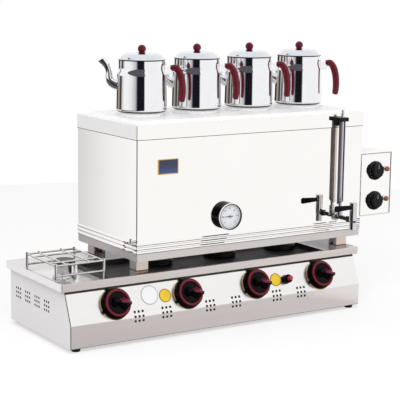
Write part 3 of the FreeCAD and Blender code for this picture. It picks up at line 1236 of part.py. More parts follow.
def build_thermostat_knob(z):
    """Dial knob with a fluted hub on a flat skirt, with the shaft it turns."""
    back = BOX_FRONT - DIAL_GAP
    skirt = DIAL_DIAMETER / 2
    hub = DIAL_HUB_DIAMETER / 2
    face = back - DIAL_HEIGHT
    points = [(0, back), (skirt, back), (skirt, back - DIAL_SKIRT / 2), (skirt - DIAL_SKIRT / 2, back - DIAL_SKIRT), (hub, back - DIAL_SKIRT), (hub - DIAL_SKIRT / 4, face + DIAL_SKIRT / 4), (hub - DIAL_SKIRT / 2, face), (0, face)]
    knob = turned_front(points, dial_x(), z)
    flutes = []
    for i in range(DIAL_FLUTES):
        angle = 2 * math.pi * i / DIAL_FLUTES
        place = V(dial_x() + (hub + DIAL_FLUTE / 4) * math.cos(angle), face - THIN_SHEET, z + (hub + DIAL_FLUTE / 4) * math.sin(angle))
        flutes.append(cylinder(place, Y_AXIS, DIAL_FLUTE, DIAL_HEIGHT - DIAL_SKIRT))
    shaft = cylinder(V(dial_x(), back - THIN_SHEET, z), Y_AXIS, DIAL_SHAFT, DIAL_GAP + BOX_SHEET + THERMOSTAT_DEPTH / 4)
    return knob.cut(Part.makeCompound(flutes)).fuse(shaft).removeSplitter()


def build_pilot_lamps():
    """Two pilot lamps: a bezel on the front of the box, a domed lens and a body behind."""
    lamps = []
    for z in DIAL_ZS:
        y = BOX_FRONT
        bezel = LAMP_DIAMETER / 2
        lens = LAMP_LENS_DIAMETER / 2
        points = [(0, y + LAMP_BODY_LENGTH), (lens, y + LAMP_BODY_LENGTH), (lens, y), (bezel, y), (bezel, y - LAMP_DOME / 4), (lens, y - LAMP_DOME / 3), (lens * 0.9, y - LAMP_DOME * 0.7), (lens * 0.5, y - LAMP_DOME * 0.95), (0, y - LAMP_DOME)]
        lamps.append(turned_front(points, lamp_x(), z + LAMP_RISE))
    return Part.makeCompound(lamps)


def build_heating_elements():
    """Two bent rod elements in the water, each on a boss through the walls with an outer flange."""
    elements = []
    for z in ELEMENT_ZS:
        centre = element_centre(z)
        flange = cylinder(centre, X_AXIS, ELEMENT_FLANGE, ELEMENT_FLANGE / 8)
        boss_end = centre.x - 2 * SHEET - INNER_GAP - 2 * SHEET
        boss = rod_between(centre + X_AXIS * SHEET, V(boss_end, centre.y, z), ELEMENT_BOSS)
        half = ELEMENT_LEGS / 2
        turn_x = boss_end - ELEMENT_LENGTH + half
        pieces = [flange, boss]
        for side in (-1, 1):
            y = centre.y + side * half
            pieces.append(rod_between(V(boss_end + SHEET, y, z), V(turn_x, y, z), ELEMENT_ROD))
        ring = Part.makeTorus(half, ELEMENT_ROD / 2, V(turn_x, centre.y, z), Z_AXIS, 0, 360, 180)
        ring.rotate(V(turn_x, centre.y, z), Z_AXIS, 90)
        pieces.append(ring)
        elements.append(fuse(pieces))
    return Part.makeCompound(elements)


def pot_profile(wall):
    """Half outline of a teapot's body, drawn a wall thickness inside its outer face."""
    base = wall
    r0 = POT_BASE_RADIUS - wall
    r1 = POT_BELLY_RADIUS - wall
    r2 = POT_WAIST_RADIUS - wall
    r3 = POT_NECK_RADIUS - wall
    top = POT_HEIGHT + wall
    heel = V(r1 - (r1 - r0) * 0.22, 0, base + POT_HEEL_HEIGHT * 0.3)
    middle_z = (POT_WAIST_HEIGHT + POT_NECK_HEIGHT) / 2
    middle_r = (r2 + r3) / 2
    bulge = (r2 - r3) * 0.15
    edges = [
        line(V(0, 0, base), V(r0, 0, base)),
        arc(V(r0, 0, base), heel, V(r1, 0, POT_HEEL_HEIGHT)),
        line(V(r1, 0, POT_HEEL_HEIGHT), V(r2, 0, POT_WAIST_HEIGHT)),
        arc(V(r2, 0, POT_WAIST_HEIGHT), V((r2 + middle_r) / 2 + bulge, 0, (POT_WAIST_HEIGHT + middle_z) / 2), V(middle_r, 0, middle_z)),
        arc(V(middle_r, 0, middle_z), V((r3 + middle_r) / 2 - bulge, 0, (POT_NECK_HEIGHT + middle_z) / 2), V(r3, 0, POT_NECK_HEIGHT)),
        line(V(r3, 0, POT_NECK_HEIGHT), V(r3, 0, top)),
        line(V(r3, 0, top), V(0, 0, top)),
        line(V(0, 0, top), V(0, 0, base)),
    ]
    return Part.Face(Part.Wire(edges)).revolve(V(0, 0, 0), Z_AXIS, 360)


def oval(centre, across, half_depth, half_width):
    """Ellipse in the plane of across and Y, started on its longer axis."""
    depth_end = centre + across * half_depth
    width_end = centre + Y_AXIS * half_width
    if half_width > half_depth:
        return Part.Wire(Part.Ellipse(width_end, depth_end, centre).toShape())
    return Part.Wire(Part.Ellipse(depth_end, width_end, centre).toShape())


def lofted(sections, shrink):
    """Smooth tube through oval sections, each a centre, a direction, an in-plane size and a width."""
    wires = []
    for centre, direction, depth, width in sections:
        across = V(direction.z, 0, -direction.x).normalize()
        wires.append(oval(centre, across, depth / 2 - shrink, width / 2 - shrink))
    return Part.makeLoft(wires, True, False)


def spout_sections(extra):
    """Sections of the spout from its root in the body to its slanted lip."""
    bend = V(-SPOUT_REACH, 0, SPOUT_BEND_Z)
    top = V(-SPOUT_REACH, 0, SPOUT_STRAIGHT_Z)
    lip_direction = V(-math.sin(SPOUT_LIP_TILT), 0, math.cos(SPOUT_LIP_TILT))
    lip = V(-SPOUT_LIP_REACH, 0, SPOUT_LIP_Z)
    root = V(-SPOUT_ROOT_X, 0, SPOUT_ROOT_Z)
    elbow = V(-(SPOUT_ROOT_X + SPOUT_REACH) / 2 - SPOUT_ELBOW, 0, (SPOUT_ROOT_Z + SPOUT_BEND_Z) / 2 - SPOUT_ELBOW)
    waist = (top + lip) / 2 + V(SPOUT_ELBOW / 2, 0, 0)
    return [
        (root + V(extra, 0, -extra / 4), V(-0.97, 0, 0.24), SPOUT_ROOT_SIZE, SPOUT_ROOT_SIZE * 0.85),
        (elbow, V(-0.8, 0, 0.6), SPOUT_ROOT_SIZE * 0.88, SPOUT_ROOT_SIZE * 0.75),
        (bend, V(-0.2, 0, 0.98), SPOUT_SIZE * 1.1, SPOUT_SIZE),
        (top, V(-0.1, 0, 0.995), SPOUT_SIZE, SPOUT_SIZE * 0.9),
        (waist, V(-0.55, 0, 0.835), SPOUT_SIZE, SPOUT_SIZE * 0.8),
        (lip + lip_direction * (extra / 8), lip_direction, SPOUT_LIP_SIZE, SPOUT_LIP_WIDTH),
    ]


def build_pot_body():
    """Teapot body with its hollow spout and the bracket that carries the grip."""
    outer = pot_profile(0)
    inner = pot_profile(POT_WALL)
    rim_cut = cylinder(V(0, 0, POT_HEIGHT), Z_AXIS, 3 * POT_BELLY_RADIUS, POT_HEIGHT)
    spout = lofted(spout_sections(0), 0)
    channel = lofted(spout_sections(SPOUT_ROOT_SIZE / 2), POT_WALL)
    bracket_x = POT_NECK_RADIUS - POT_WALL * 0.9
    half = BRACKET_WIDTH / 2
    bracket = box(bracket_x, -half, BRACKET_LOW, BRACKET_REACH, half, BRACKET_HIGH)
    lower = [e for e in edges_along(bracket, Y_AXIS) if e.BoundBox.XMin > BRACKET_REACH - 1]
    bracket = bracket.makeFillet(BRACKET_WIDTH / 4, lower)
    tongue = bracket_tongue()
    vessel = outer.cut(rim_cut).fuse(bracket).cut(inner)
    vessel = vessel.fuse(spout.cut(inner)).fuse(tongue)
    return vessel.cut(channel)


def bracket_tongue():
    """Tongue of the bracket inside the grip."""
    half = BRACKET_WIDTH / 4
    z = GRIP_ROOT_Z
    t = BRACKET_TONGUE_THICKNESS / 2
    return box(BRACKET_REACH - 1, -half, z - t, BRACKET_REACH + BRACKET_TONGUE, half, z + t)


def build_pot_grip():
    """Grip that leaves the bracket outwards, bends down and ends free."""
    d = GRIP_DEPTH
    w = GRIP_WIDTH
    sections = [
        (V(BRACKET_REACH, 0, GRIP_ROOT_Z), V(1, 0, 0), d * 0.9, w * 0.85),
        (V(GRIP_CREST_X, 0, GRIP_CREST_Z), V(0.85, 0, -0.53), d, w),
        (V(GRIP_SHOULDER_X, 0, GRIP_SHOULDER_Z), V(0.27, 0, -0.96), d, w),
        (V(GRIP_BACK_X, 0, (GRIP_SHOULDER_Z + GRIP_LOW) / 2), V(0, 0, -1), d, w),
        (V(GRIP_END_X, 0, GRIP_LOW + d / 2), V(-0.1, 0, -0.995), d * 0.92, w * 0.92),
        (V(GRIP_END_X - 0.5, 0, GRIP_LOW), V(-0.1, 0, -0.995), d * 0.5, w * 0.5),
    ]
    return lofted(sections, 0).cut(bracket_tongue())


def build_pot_lid():
    """Domed lid with a flat flange and a plug ring that enters the mouth."""
    z = POT_HEIGHT
    t = POT_WALL
    flange = POT_NECK_RADIUS + LID_OVERHANG
    plug = POT_NECK_RADIUS - POT_WALL - LIFT_CLEARANCE
    top = z + LID_DOME_HEIGHT
    shoulder = V(LID_SHOULDER_RADIUS, 0, top - LID_DOME_HEIGHT * 0.12)
    rise = V(plug, 0, z + LID_EDGE)
    bow = V((plug + LID_SHOULDER_RADIUS) / 2 + LID_EDGE, 0, (rise.z + shoulder.z) / 2 + LID_EDGE)
    drop = V(0, 0, -t)
    outer_edges = [
        line(V(plug, 0, z - LID_PLUG_DEPTH), V(plug, 0, z)),
        line(V(plug, 0, z), V(flange, 0, z)),
        line(V(flange, 0, z), V(flange, 0, z + LID_EDGE)),
        line(V(flange, 0, z + LID_EDGE), rise),
        arc(rise, bow, shoulder),
        line(shoulder, V(0, 0, top)),
        line(V(0, 0, top), V(0, 0, top - t)),
        line(V(0, 0, top - t), shoulder + drop),
        arc(shoulder + drop, bow + V(-t / 2, 0, -t), rise + V(-t, 0, -t)),
        line(rise + V(-t, 0, -t), V(plug - t, 0, z - LID_PLUG_DEPTH)),
        line(V(plug - t, 0, z - LID_PLUG_DEPTH), V(plug, 0, z - LID_PLUG_DEPTH)),
    ]
    return Part.Face(Part.Wire(outer_edges)).revolve(V(0, 0, 0), Z_AXIS, 360)


def build_pot_lid_knob():
    """Ball knob on a short foot."""
    z = POT_HEIGHT + LID_DOME_HEIGHT
    centre = z + LID_KNOB_RISE
    reach = LID_KNOB_NECK
    low = centre - math.sqrt(LID_KNOB_RADIUS ** 2 - reach ** 2)
    foot = (low - z) * 0.5
    edges = [
        line(V(0, 0, z), V(LID_KNOB_FOOT, 0, z)),
        line(V(LID_KNOB_FOOT, 0, z), V(LID_KNOB_FOOT, 0, z + foot)),
        line(V(LID_KNOB_FOOT, 0, z + foot), V(reach, 0, low)),
        arc(V(reach, 0, low), V(LID_KNOB_RADIUS, 0, centre), V(0, 0, centre + LID_KNOB_RADIUS)),
        line(V(0, 0, centre + LID_KNOB_RADIUS), V(0, 0, z)),
    ]
    return Part.Face(Part.Wire(edges)).revolve(V(0, 0, 0), Z_AXIS, 360)


def on_seat(shape, x):
    """Teapot piece turned and set on the collar at x."""
    placed = shape.copy()
    placed.rotate(V(0, 0, 0), Z_AXIS, POT_TURN)
    placed.translate(V(x, POT_ROW_Y, SEAT_TOP))
    return placed


PARTS = {
    "hob_housing": build_hob_housing(),
    "hob_base_plate": build_hob_base_plate(),
    "hob_top": build_hob_top(),
    "drip_pan": build_drip_pan(),
    "main_burners": build_main_burners(),
    "burner_caps": build_burner_caps(),
    "coffee_burner": build_coffee_burner(),
    "coffee_burner_cap": build_coffee_burner_cap(),
    "pan_support": build_pan_support(),
    "gas_manifold": build_gas_manifold(),
    "gas_valves": build_gas_valves(),
    "knob_bezels": build_knob_bezels(),
    "igniter_body": build_igniter_body(),
    "igniter_button": build_igniter_button(),
    "panel_discs": build_panel_discs(),
    "rubber_feet": build_rubber_feet(),
    "boiler_shell": build_boiler_shell(),
    "boiler_top": build_boiler_top(),
    "inner_tank": build_inner_tank(),
    "boiler_legs": build_boiler_legs(),
    "fasteners": build_fasteners(),
    "badge_plate": build_badge_plate(),
    "drain_elbow": build_drain_elbow(),
    "thermometer_case": build_thermometer_case(),
    "thermometer_dial": build_thermometer_dial(),
    "thermometer_needle": build_thermometer_needle(),
    "thermometer_glass": build_thermometer_glass(),
    "tap_body": build_tap_body(),
    "tap_plug": build_tap_plug(),
    "tap_lever": build_tap_lever(),
    "gauge_glass": build_gauge_glass(),
    "gauge_guard": build_gauge_guard(),
    "gauge_clamp": build_gauge_clamp(),
    "gauge_vent": build_gauge_vent(),
    "control_box": build_control_box(),
    "thermostats": build_thermostats(),
    "pilot_lamps": build_pilot_lamps(),
    "heating_elements": build_heating_elements(),
}
for i, x in enumerate(KNOB_XS):
    PARTS["gas_knob_%d" % (i + 1)] = build_gas_knob(x)
for i, z in enumerate(DIAL_ZS):
    PARTS["thermostat_knob_%d" % (i + 1)] = build_thermostat_knob(z)
pot_pieces = {
    "body": build_pot_body(),
    "grip": build_pot_grip(),
    "lid": build_pot_lid(),
    "lid_knob": build_pot_lid_knob(),
}
for i, x in enumerate(POT_XS):
    for piece, shape in pot_pieces.items():
        PARTS["pot_%d_%s" % (i + 1, piece)] = on_seat(shape, x)


def middle_of_set(shapes):
    """Point on the floor under the middle of the box round all the pieces."""
    bounds = FreeCAD.BoundBox()
    for shape in shapes:
        bounds.add(shape.BoundBox)
    return V(round(bounds.Center.x, 3), round(bounds.Center.y, 3), 0)


middle = middle_of_set(PARTS.values())
os.makedirs("parts", exist_ok=True)
for name, shape in PARTS.items():
    shape.translate(-middle)
    shape.exportStep("parts/%s.step" % name)
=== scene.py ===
import math

import bpy
from mathutils import Matrix, Vector


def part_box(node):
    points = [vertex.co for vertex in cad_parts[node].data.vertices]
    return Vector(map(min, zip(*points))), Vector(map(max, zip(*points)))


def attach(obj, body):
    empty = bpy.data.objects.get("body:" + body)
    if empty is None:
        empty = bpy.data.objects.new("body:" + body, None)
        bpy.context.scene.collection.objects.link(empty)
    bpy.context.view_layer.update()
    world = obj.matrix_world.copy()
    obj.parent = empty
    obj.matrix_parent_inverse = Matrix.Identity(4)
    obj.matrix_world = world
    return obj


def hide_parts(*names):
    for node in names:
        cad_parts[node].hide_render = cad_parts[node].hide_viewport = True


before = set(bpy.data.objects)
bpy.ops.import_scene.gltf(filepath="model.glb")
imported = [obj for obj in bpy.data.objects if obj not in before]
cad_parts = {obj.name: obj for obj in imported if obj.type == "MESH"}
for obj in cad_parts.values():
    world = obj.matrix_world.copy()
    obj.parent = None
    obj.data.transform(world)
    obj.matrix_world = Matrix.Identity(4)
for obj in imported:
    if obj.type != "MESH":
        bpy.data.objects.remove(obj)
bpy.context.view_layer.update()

MM = 0.001
TOUCH = 0.01 * MM
WELD = 0.002 * MM
X_AXIS = Vector((1, 0, 0))
Z_AXIS = Vector((0, 0, 1))
MAIN_BODY = "stove_and_boiler"

# How far a normal points along an axis: square on to it, half way to it, or turned in at an edge
SQUARE_ON = 0.9
HALF_ON = 0.5
TURNED_IN = 0.15

# Places below are in mm from the point on the floor under the middle of the hob
hob_low, hob_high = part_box("hob_top")
HOB_MIDDLE = Vector(((hob_low.x + hob_high.x) / 2, (hob_low.y + hob_high.y) / 2, 0))


def at(x, y, z):
    """Place in metres of a point given in mm from the hob's middle."""
    return HOB_MIDDLE + Vector((x, y, z)) * MM


# Shader building

class Socket:
    """Output of a shader node; arithmetic on it adds Math nodes."""

    def __init__(self, finish, output):
        self.finish = finish
        self.output = output

    def math(self, operation, left, right=0.0):
        return self.finish.node("ShaderNodeMath", {"operation": operation}, {0: left, 1: right})

    def __add__(self, other):
        return self.math("ADD", self, other)

    def __sub__(self, other):
        return self.math("SUBTRACT", self, other)

    def __rsub__(self, other):
        return self.math("SUBTRACT", other, self)

    def __mul__(self, other):
        return self.math("MULTIPLY", self, other)

    def __truediv__(self, other):
        return self.math("DIVIDE", self, other)

    def capped(self, limit=1.0):
        return self.math("MINIMUM", self, limit)


class Finish:
    """Node tree of one material or of the world."""

    def __init__(self, owner):
        self.owner = owner
        owner.use_nodes = True
        self.tree = owner.node_tree
        self.tree.nodes.clear()

    def node(self, kind, settings=None, inputs=None, output=0):
        """Adds a node, sets it up, fills its sockets and gives one of its outputs."""
        node = self.tree.nodes.new(kind)
        for key, value in (settings or {}).items():
            if key == "stops":
                self.set_stops(node.color_ramp, value)
            else:
                setattr(node, key, value)
        for key, value in (inputs or {}).items():
            if isinstance(value, Socket):
                self.tree.links.new(value.output, node.inputs[key])
            else:
                node.inputs[key].default_value = value
        return Socket(self, node.outputs[output]) if len(node.outputs) else None

    def set_stops(self, ramp, stops):
        while len(ramp.elements) < len(stops):
            ramp.elements.new(1.0)
        for i, (place, colour) in enumerate(stops):
            ramp.elements[i].position = place
            ramp.elements[i].color = (*colour, 1.0)

    def coordinates(self, scale=(1, 1, 1)):
        """Object coordinates, stretched by a scale."""
        place = self.node("ShaderNodeTexCoord", output="Object")
        return self.node("ShaderNodeMapping", {}, {"Vector": place, "Scale": scale})

    def axes(self, vector):
        """The three numbers of a vector."""
        split = self.node("ShaderNodeSeparateXYZ", {}, {0: vector})
        outputs = split.output.node.outputs
        return [Socket(self, outputs[i]) for i in range(3)]

    def noise(self, scale, detail=3.0, stretch=(1, 1, 1), roughness=0.5):
        inputs = {"Vector": self.coordinates(stretch), "Scale": scale, "Detail": detail}
        inputs["Roughness"] = roughness
        return self.node("ShaderNodeTexNoise", {}, inputs)

    def mix(self, factor, first, second):
        """Colour between two colours."""
        inputs = {0: factor, 6: first, 7: second}
        return self.node("ShaderNodeMix", {"data_type": "RGBA"}, inputs, output=2)

    def ramp(self, value, stops):
        return self.node("ShaderNodeValToRGB", {"stops": stops}, {0: value})

    def bump(self, height, strength, distance):
        inputs = {"Height": height, "Strength": strength, "Distance": distance}
        return self.node("ShaderNodeBump", {}, inputs)

    def surface(self, **inputs):
        """Principled surface; an input's name is the socket's with underscores for spaces."""
        named = {key.replace("_", " "): value for key, value in inputs.items()}
        shader = self.node("ShaderNodeBsdfPrincipled", {}, named)
        self.node("ShaderNodeOutputMaterial", {}, {"Surface": shader})


def rgb(red, green, blue):
    """Colour socket value from a display colour in 0 to 255."""
    linear = []
    for value in (red, green, blue):
        share = value / 255
        linear.append(share / 12.92 if share <= 0.04045 else ((share + 0.055) / 1.055) ** 2.4)
    return (*linear, 1.0)


# Every material by its name
FINISHES = {}


def finish(name):
    """New material, kept under its name."""
    FINISHES[name] = bpy.data.materials.new(name)
    return Finish(FINISHES[name])


def polished_sheet(name, light, dark, roughness):
    """Mirror polished sheet with faint cloudy wipe marks and a slight waviness."""
    f = finish(name)
    clouds = f.noise(6.0, 4.0)
    wipes = f.noise(40.0, 2.0, (0.3, 1.0, 1.6))
    colour = f.mix(clouds, rgb(*light), rgb(*dark))
    gloss = wipes * 0.03 + clouds * 0.03 + (roughness - 0.03)
    waves = f.noise(2.2, 1.0)
    f.surface(Base_Color=colour, Metallic=1.0, Roughness=gloss, Normal=f.bump(waves, 0.08, 0.004))


def brushed_sheet(name, light, dark, roughness, stretch, metal=1.0, painted_glow=0.0):
    """Satin sheet with fine brush lines along one direction, glowing by painted_glow: painted light in its
    own colour.
    """
    f = finish(name)
    lines = f.noise(60.0, 3.0, stretch, 0.7)
    clouds = f.noise(5.0, 3.0)
    colour = f.mix(lines * 0.5 + clouds * 0.5, rgb(*light), rgb(*dark))
    gloss = lines * 0.12 + (roughness - 0.06)
    f.surface(Base_Color=colour, Metallic=metal, Roughness=gloss, Normal=f.bump(lines, 0.05, 0.0004),
              Emission_Color=colour, Emission_Strength=painted_glow)


def chrome_plate(name, colour, roughness):
    """Bright plated or polished metal with faint smudges."""
    f = finish(name)
    smudge = f.noise(30.0, 4.0)
    tone = f.mix(smudge, rgb(*colour), rgb(*(0.95 * c for c in colour)))
    gloss = smudge * 0.05 + (roughness - 0.02)
    f.surface(Base_Color=tone, Metallic=1.0, Roughness=gloss)


def moulded_plastic(name, colour, roughness, coat=0.3, glare=0.5, painted_glow=0.0):
    """Glossy moulding with a faint grain and dust, glowing by painted_glow: painted light in its own
    colour.
    """
    f = finish(name)
    grain = f.noise(900.0, 2.0)
    dust = f.noise(25.0, 5.0)
    lighter = [min(255, c * 1.2 + 4) for c in colour]
    tone = f.mix(dust, rgb(*colour), rgb(*lighter))
    gloss = dust * 0.12 + (roughness - 0.04)
    normal = f.bump(grain, 0.04, 0.0002)
    f.surface(Base_Color=tone, Roughness=gloss, Coat_Weight=coat, Coat_Roughness=0.08,
              Specular_IOR_Level=glare, Emission_Color=tone, Emission_Strength=painted_glow, Normal=normal)


def enamel(name, colour, roughness):
    """Enamelled sheet or casting with an orange-peel skin."""
    f = finish(name)
    peel = f.noise(350.0, 2.0)
    wear = f.noise(14.0, 6.0)
    tone = f.mix(wear, rgb(*colour), rgb(*(c * 1.5 + 8 for c in colour)))
    gloss = wear * 0.2 + (roughness - 0.1)
    f.surface(Base_Color=tone, Roughness=gloss, Normal=f.bump(peel, 0.1, 0.0003))


def clear_glass(name, tint, roughness):
    """Thin clear glass that shows what is behind it."""
    f = finish(name)
    smears = f.noise(18.0, 3.0)
    gloss = smears * 0.02 + roughness
    f.surface(Base_Color=rgb(*tint), Roughness=gloss, IOR=1.35, Alpha=smears * 0.06 + 0.12)


def badge_enamel():
    """Blank field: navy at its top, blue at its foot."""
    f = finish("badge_enamel")
    x, y, z = f.axes(f.coordinates())
    low, high = (corner.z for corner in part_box("badge_plate"))
    share = (z - low) / (high - low)
    clouds = f.noise(60.0, 3.0) * 0.15
    stops = [(0.1, rgb(44, 84, 150)[:3]), (0.55, rgb(24, 44, 96)[:3]), (0.95, rgb(16, 24, 52)[:3])]
    colour = f.ramp(share + clouds, stops)
    f.surface(Base_Color=colour, Roughness=0.25, Coat_Weight=0.6, Coat_Roughness=0.05)


def clear_disc():
    """Pale polished disc with faint clouds."""
    f = finish("clear_disc")
    clouds = f.noise(80.0, 3.0)
    colour = f.mix(clouds, rgb(252, 252, 253), rgb(243, 243, 246))
    f.surface(Base_Color=colour, Metallic=0.9, Roughness=clouds * 0.1 + 0.1)


# Stretch of the brush lines along X, along Y and upright
ALONG_X = (0.05, 1.0, 1.0)
ALONG_Y = (1.0, 0.05, 1.0)
UPRIGHT = (1.0, 1.0, 0.05)

polished_sheet("panel_mirror", (252, 250, 248), (247, 246, 243), 0.03)
# Painted light: a matte white that glows, put on steel faces in place of their bright reflections
brushed_sheet("white_glow_satin", (251, 251, 251), (246, 246, 247), 0.45, ALONG_X, metal=0.0, painted_glow=0.16)
enamel("shade_and_seam_dark", (52, 46, 45), 0.5)
enamel("painted_shade_inside", (20, 19, 20), 0.6)
chrome_plate("wire_shade", (84, 76, 72), 0.3)
chrome_plate("pot_edge_shade", (72, 58, 54), 0.3)
brushed_sheet("side_glow_satin", (248, 245, 247), (241, 238, 240), 0.42, ALONG_Y, metal=0.0, painted_glow=0.21)
brushed_sheet("rim_glow_satin", (252, 249, 251), (246, 243, 245), 0.40, ALONG_Y, metal=0.0, painted_glow=0.24)
brushed_sheet("plinth_side_shade", (216, 211, 209), (200, 195, 193), 0.35, ALONG_X, metal=0.4)
brushed_sheet("plinth_front_shade", (240, 235, 232), (228, 223, 220), 0.35, ALONG_X, metal=0.35, painted_glow=0.03)
enamel("bead_and_edge_shade", (112, 104, 101), 0.5)
brushed_sheet("side_shade_grey", (176, 168, 167), (164, 156, 155), 0.4, UPRIGHT, metal=0.0, painted_glow=0.05)
brushed_sheet("guard_back_highlight", (250, 242, 232), (238, 228, 216), 0.3, UPRIGHT, metal=0.1, painted_glow=0.3)
chrome_plate("dark_brass", (70, 58, 38), 0.5)
brushed_sheet("guard_steel", (204, 197, 208), (188, 181, 193), 0.3, UPRIGHT, metal=0.4)
enamel("stem_dark_reflection", (34, 32, 36), 0.3)
enamel("guard_back_shade", (128, 118, 112), 0.4)
enamel("guard_shade", (78, 71, 76), 0.4)
chrome_plate("tube_glass", (206, 198, 210), 0.14)
chrome_plate("lid_chrome", (234, 235, 240), 0.06)
chrome_plate("hem_shade_grey", (150, 147, 146), 0.3)
brushed_sheet("panel_satin", (246, 245, 244), (238, 236, 235), 0.22, ALONG_X)
brushed_sheet("front_reflection_grey", (238, 231, 230), (226, 219, 218), 0.30, ALONG_X)
brushed_sheet("rim_satin", (234, 226, 222), (219, 210, 206), 0.26, ALONG_X)
brushed_sheet("tray_bright", (250, 249, 249), (240, 239, 240), 0.12, (1.0, 0.1, 1.0), metal=0.4, painted_glow=0.05)
brushed_sheet("leg_steel", (226, 210, 200), (212, 196, 186), 0.25, UPRIGHT)
chrome_plate("pot_chrome", (247, 247, 249), 0.045)
chrome_plate("fitting_chrome", (215, 213, 214), 0.10)
chrome_plate("wire_chrome", (222, 218, 215), 0.14)
chrome_plate("dark_steel", (95, 92, 92), 0.35)
chrome_plate("gold_edge", (226, 188, 110), 0.20)
enamel("pan_enamel", (38, 36, 38), 0.42)
enamel("burner_enamel", (22, 22, 23), 0.30)
moulded_plastic("black_gloss", (6, 5, 8), 0.16, coat=0.0, glare=0.10)
moulded_plastic("black_satin", (15, 15, 18), 0.34, coat=0.0, glare=0.2)
moulded_plastic("burgundy", (92, 14, 28), 0.22, coat=0.0, glare=0.3)
moulded_plastic("grip_red_reflection", (100, 24, 50), 0.30, coat=0.0, glare=0.3)
moulded_plastic("ring_red", (108, 20, 36), 0.28, coat=0.0, glare=0.3)
moulded_plastic("button_red", (176, 34, 44), 0.25)
# The yellow stickers have a faint painted glow
moulded_plastic("yellow", (255, 196, 52), 0.35, coat=0.0, glare=0.3, painted_glow=0.10)
moulded_plastic("yellow_edge", (186, 126, 40), 0.35, coat=0.1)
moulded_plastic("rubber", (20, 20, 21), 0.70, coat=0.0)
moulded_plastic("amber", (150, 92, 58), 0.25, coat=0.0, glare=0.4, painted_glow=0.03)
moulded_plastic("dial_white_glow", (240, 242, 255), 0.50, coat=0.0, glare=0.3, painted_glow=0.24)
moulded_plastic("print_dark", (42, 38, 46), 0.55, coat=0.0)
moulded_plastic("mark_grey", (150, 150, 152), 0.50, coat=0.0)
moulded_plastic("outline_grey", (196, 196, 198), 0.40, coat=0.2)
clear_glass("glass", (244, 248, 252), 0.01)
badge_enamel()
clear_disc()


# Modelling

def deselect():
    bpy.ops.object.select_all(action="DESELECT")


def chosen(piece):
    """Makes a piece the active one and the only one selected."""
    deselect()
    bpy.context.view_layer.objects.active = piece
    piece.select_set(True)


def settled(piece):
    """Puts the place, turn and size of the selected piece into its mesh."""
    bpy.ops.object.transform_apply(location=True, rotation=True, scale=True)
    return piece


def editing(piece, mode="VERT"):
    """Opens a piece in edit mode with nothing selected."""
    chosen(piece)
    bpy.ops.object.mode_set(mode="EDIT")
    bpy.ops.mesh.select_mode(type=mode)
    bpy.ops.mesh.select_all(action="DESELECT")


def closed(piece):
    """Leaves edit mode."""
    bpy.ops.object.mode_set(mode="OBJECT")
    return piece


def pick(piece, kind, test):
    """Selects the vertices or faces of a piece in edit mode whose place passes a test."""
    bpy.ops.object.mode_set(mode="OBJECT")
    mesh = piece.data
    for items in (mesh.vertices, mesh.edges, mesh.polygons):
        for item in items:
            item.select = False
    if kind == "VERT":
        for vertex in mesh.vertices:
            vertex.select = test(vertex.co)
    else:
        for face in mesh.polygons:
            face.select = test(face.center, face.normal)
    bpy.ops.object.mode_set(mode="EDIT")


def named(piece, name):
    piece.name = name
    piece.data.name = name
    return piece


def modified(piece, kind, **settings):
    """Adds a modifier with its settings and applies it."""
    chosen(piece)
    modifier = piece.modifiers.new(kind.lower(), kind)
    for key, value in settings.items():
        setattr(modifier, key, value)
    bpy.ops.object.modifier_apply(modifier=modifier.name)
    return piece


def smoothed(piece, angle=35):
    """Smooth shading that keeps edges sharper than an angle in degrees."""
    chosen(piece)
    bpy.ops.object.shade_smooth_by_angle(angle=math.radians(angle))
    return piece


def evened(piece):
    """Shades a piece smooth with its flat faces kept flat."""
    chosen(piece)
    if piece.data.has_custom_normals:
        bpy.ops.mesh.customdata_custom_splitnormals_clear()
    bpy.ops.object.shade_smooth()
    return modified(piece, "WEIGHTED_NORMAL", keep_sharp=True, weight=80)


def rounded(piece, width, segments=2, angle=35):
    """Rounds the sharp edges and keeps the flat faces flat."""
    modified(piece, "BEVEL", width=width, segments=segments, limit_method="ANGLE",
             angle_limit=math.radians(angle), use_clamp_overlap=True, harden_normals=False)
    return evened(piece)


def placed(piece, matrix):
    """Moves a piece by a matrix and puts the place into its mesh."""
    chosen(piece)
    piece.matrix_world = matrix @ piece.matrix_world
    return settled(piece)


def copied(piece, name, matrix):
    """Copy of a piece with its own mesh, moved by a matrix."""
    twin = piece.copy()
    twin.data = piece.data.copy()
    bpy.context.scene.collection.objects.link(twin)
    named(twin, name)
    return placed(twin, matrix)


def joined(pieces, name):
    """One piece out of several."""
    deselect()
    for piece in pieces:
        piece.select_set(True)
    bpy.context.view_layer.objects.active = pieces[0]
    if len(pieces) > 1:
        bpy.ops.object.join()
    return named(pieces[0], name)


def painted(piece, *finishes):
    """Gives a piece its finishes, the first one all over."""
    piece.data.materials.clear()
    for name in finishes:
        piece.data.materials.append(FINISHES[name])
    return piece


def paint_where(piece, index, test):
    """Gives the faces that pass a test another of the piece's finishes."""
    for face in piece.data.polygons:
        if test(face.center, face.normal):
            face.material_index = index
    return piece


def scored(piece, height, along_x=False):
    """Splits a piece's faces at a height, or at a place along X, in mm, for a seam."""
    place = Vector((height, 0, 0)) if along_x else Vector((0, 0, height))
    editing(piece)
    bpy.ops.mesh.select_all(action="SELECT")
    bpy.ops.mesh.bisect(plane_co=place * MM, plane_no=X_AXIS if along_x else Z_AXIS)
    closed(piece)
    return evened(piece) if piece.data.has_custom_normals else piece


def painted_over(piece, name, test):
    """Gives the faces that pass a test one more finish."""
    piece.data.materials.append(FINISHES[name])
    return paint_where(piece, len(piece.data.materials) - 1, test)


def mounted(piece, body, slot, *nodes):
    """Puts a finished piece on its body, in the place of CAD nodes."""
    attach(piece, body)
    if nodes:
        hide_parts(*nodes)
    return piece


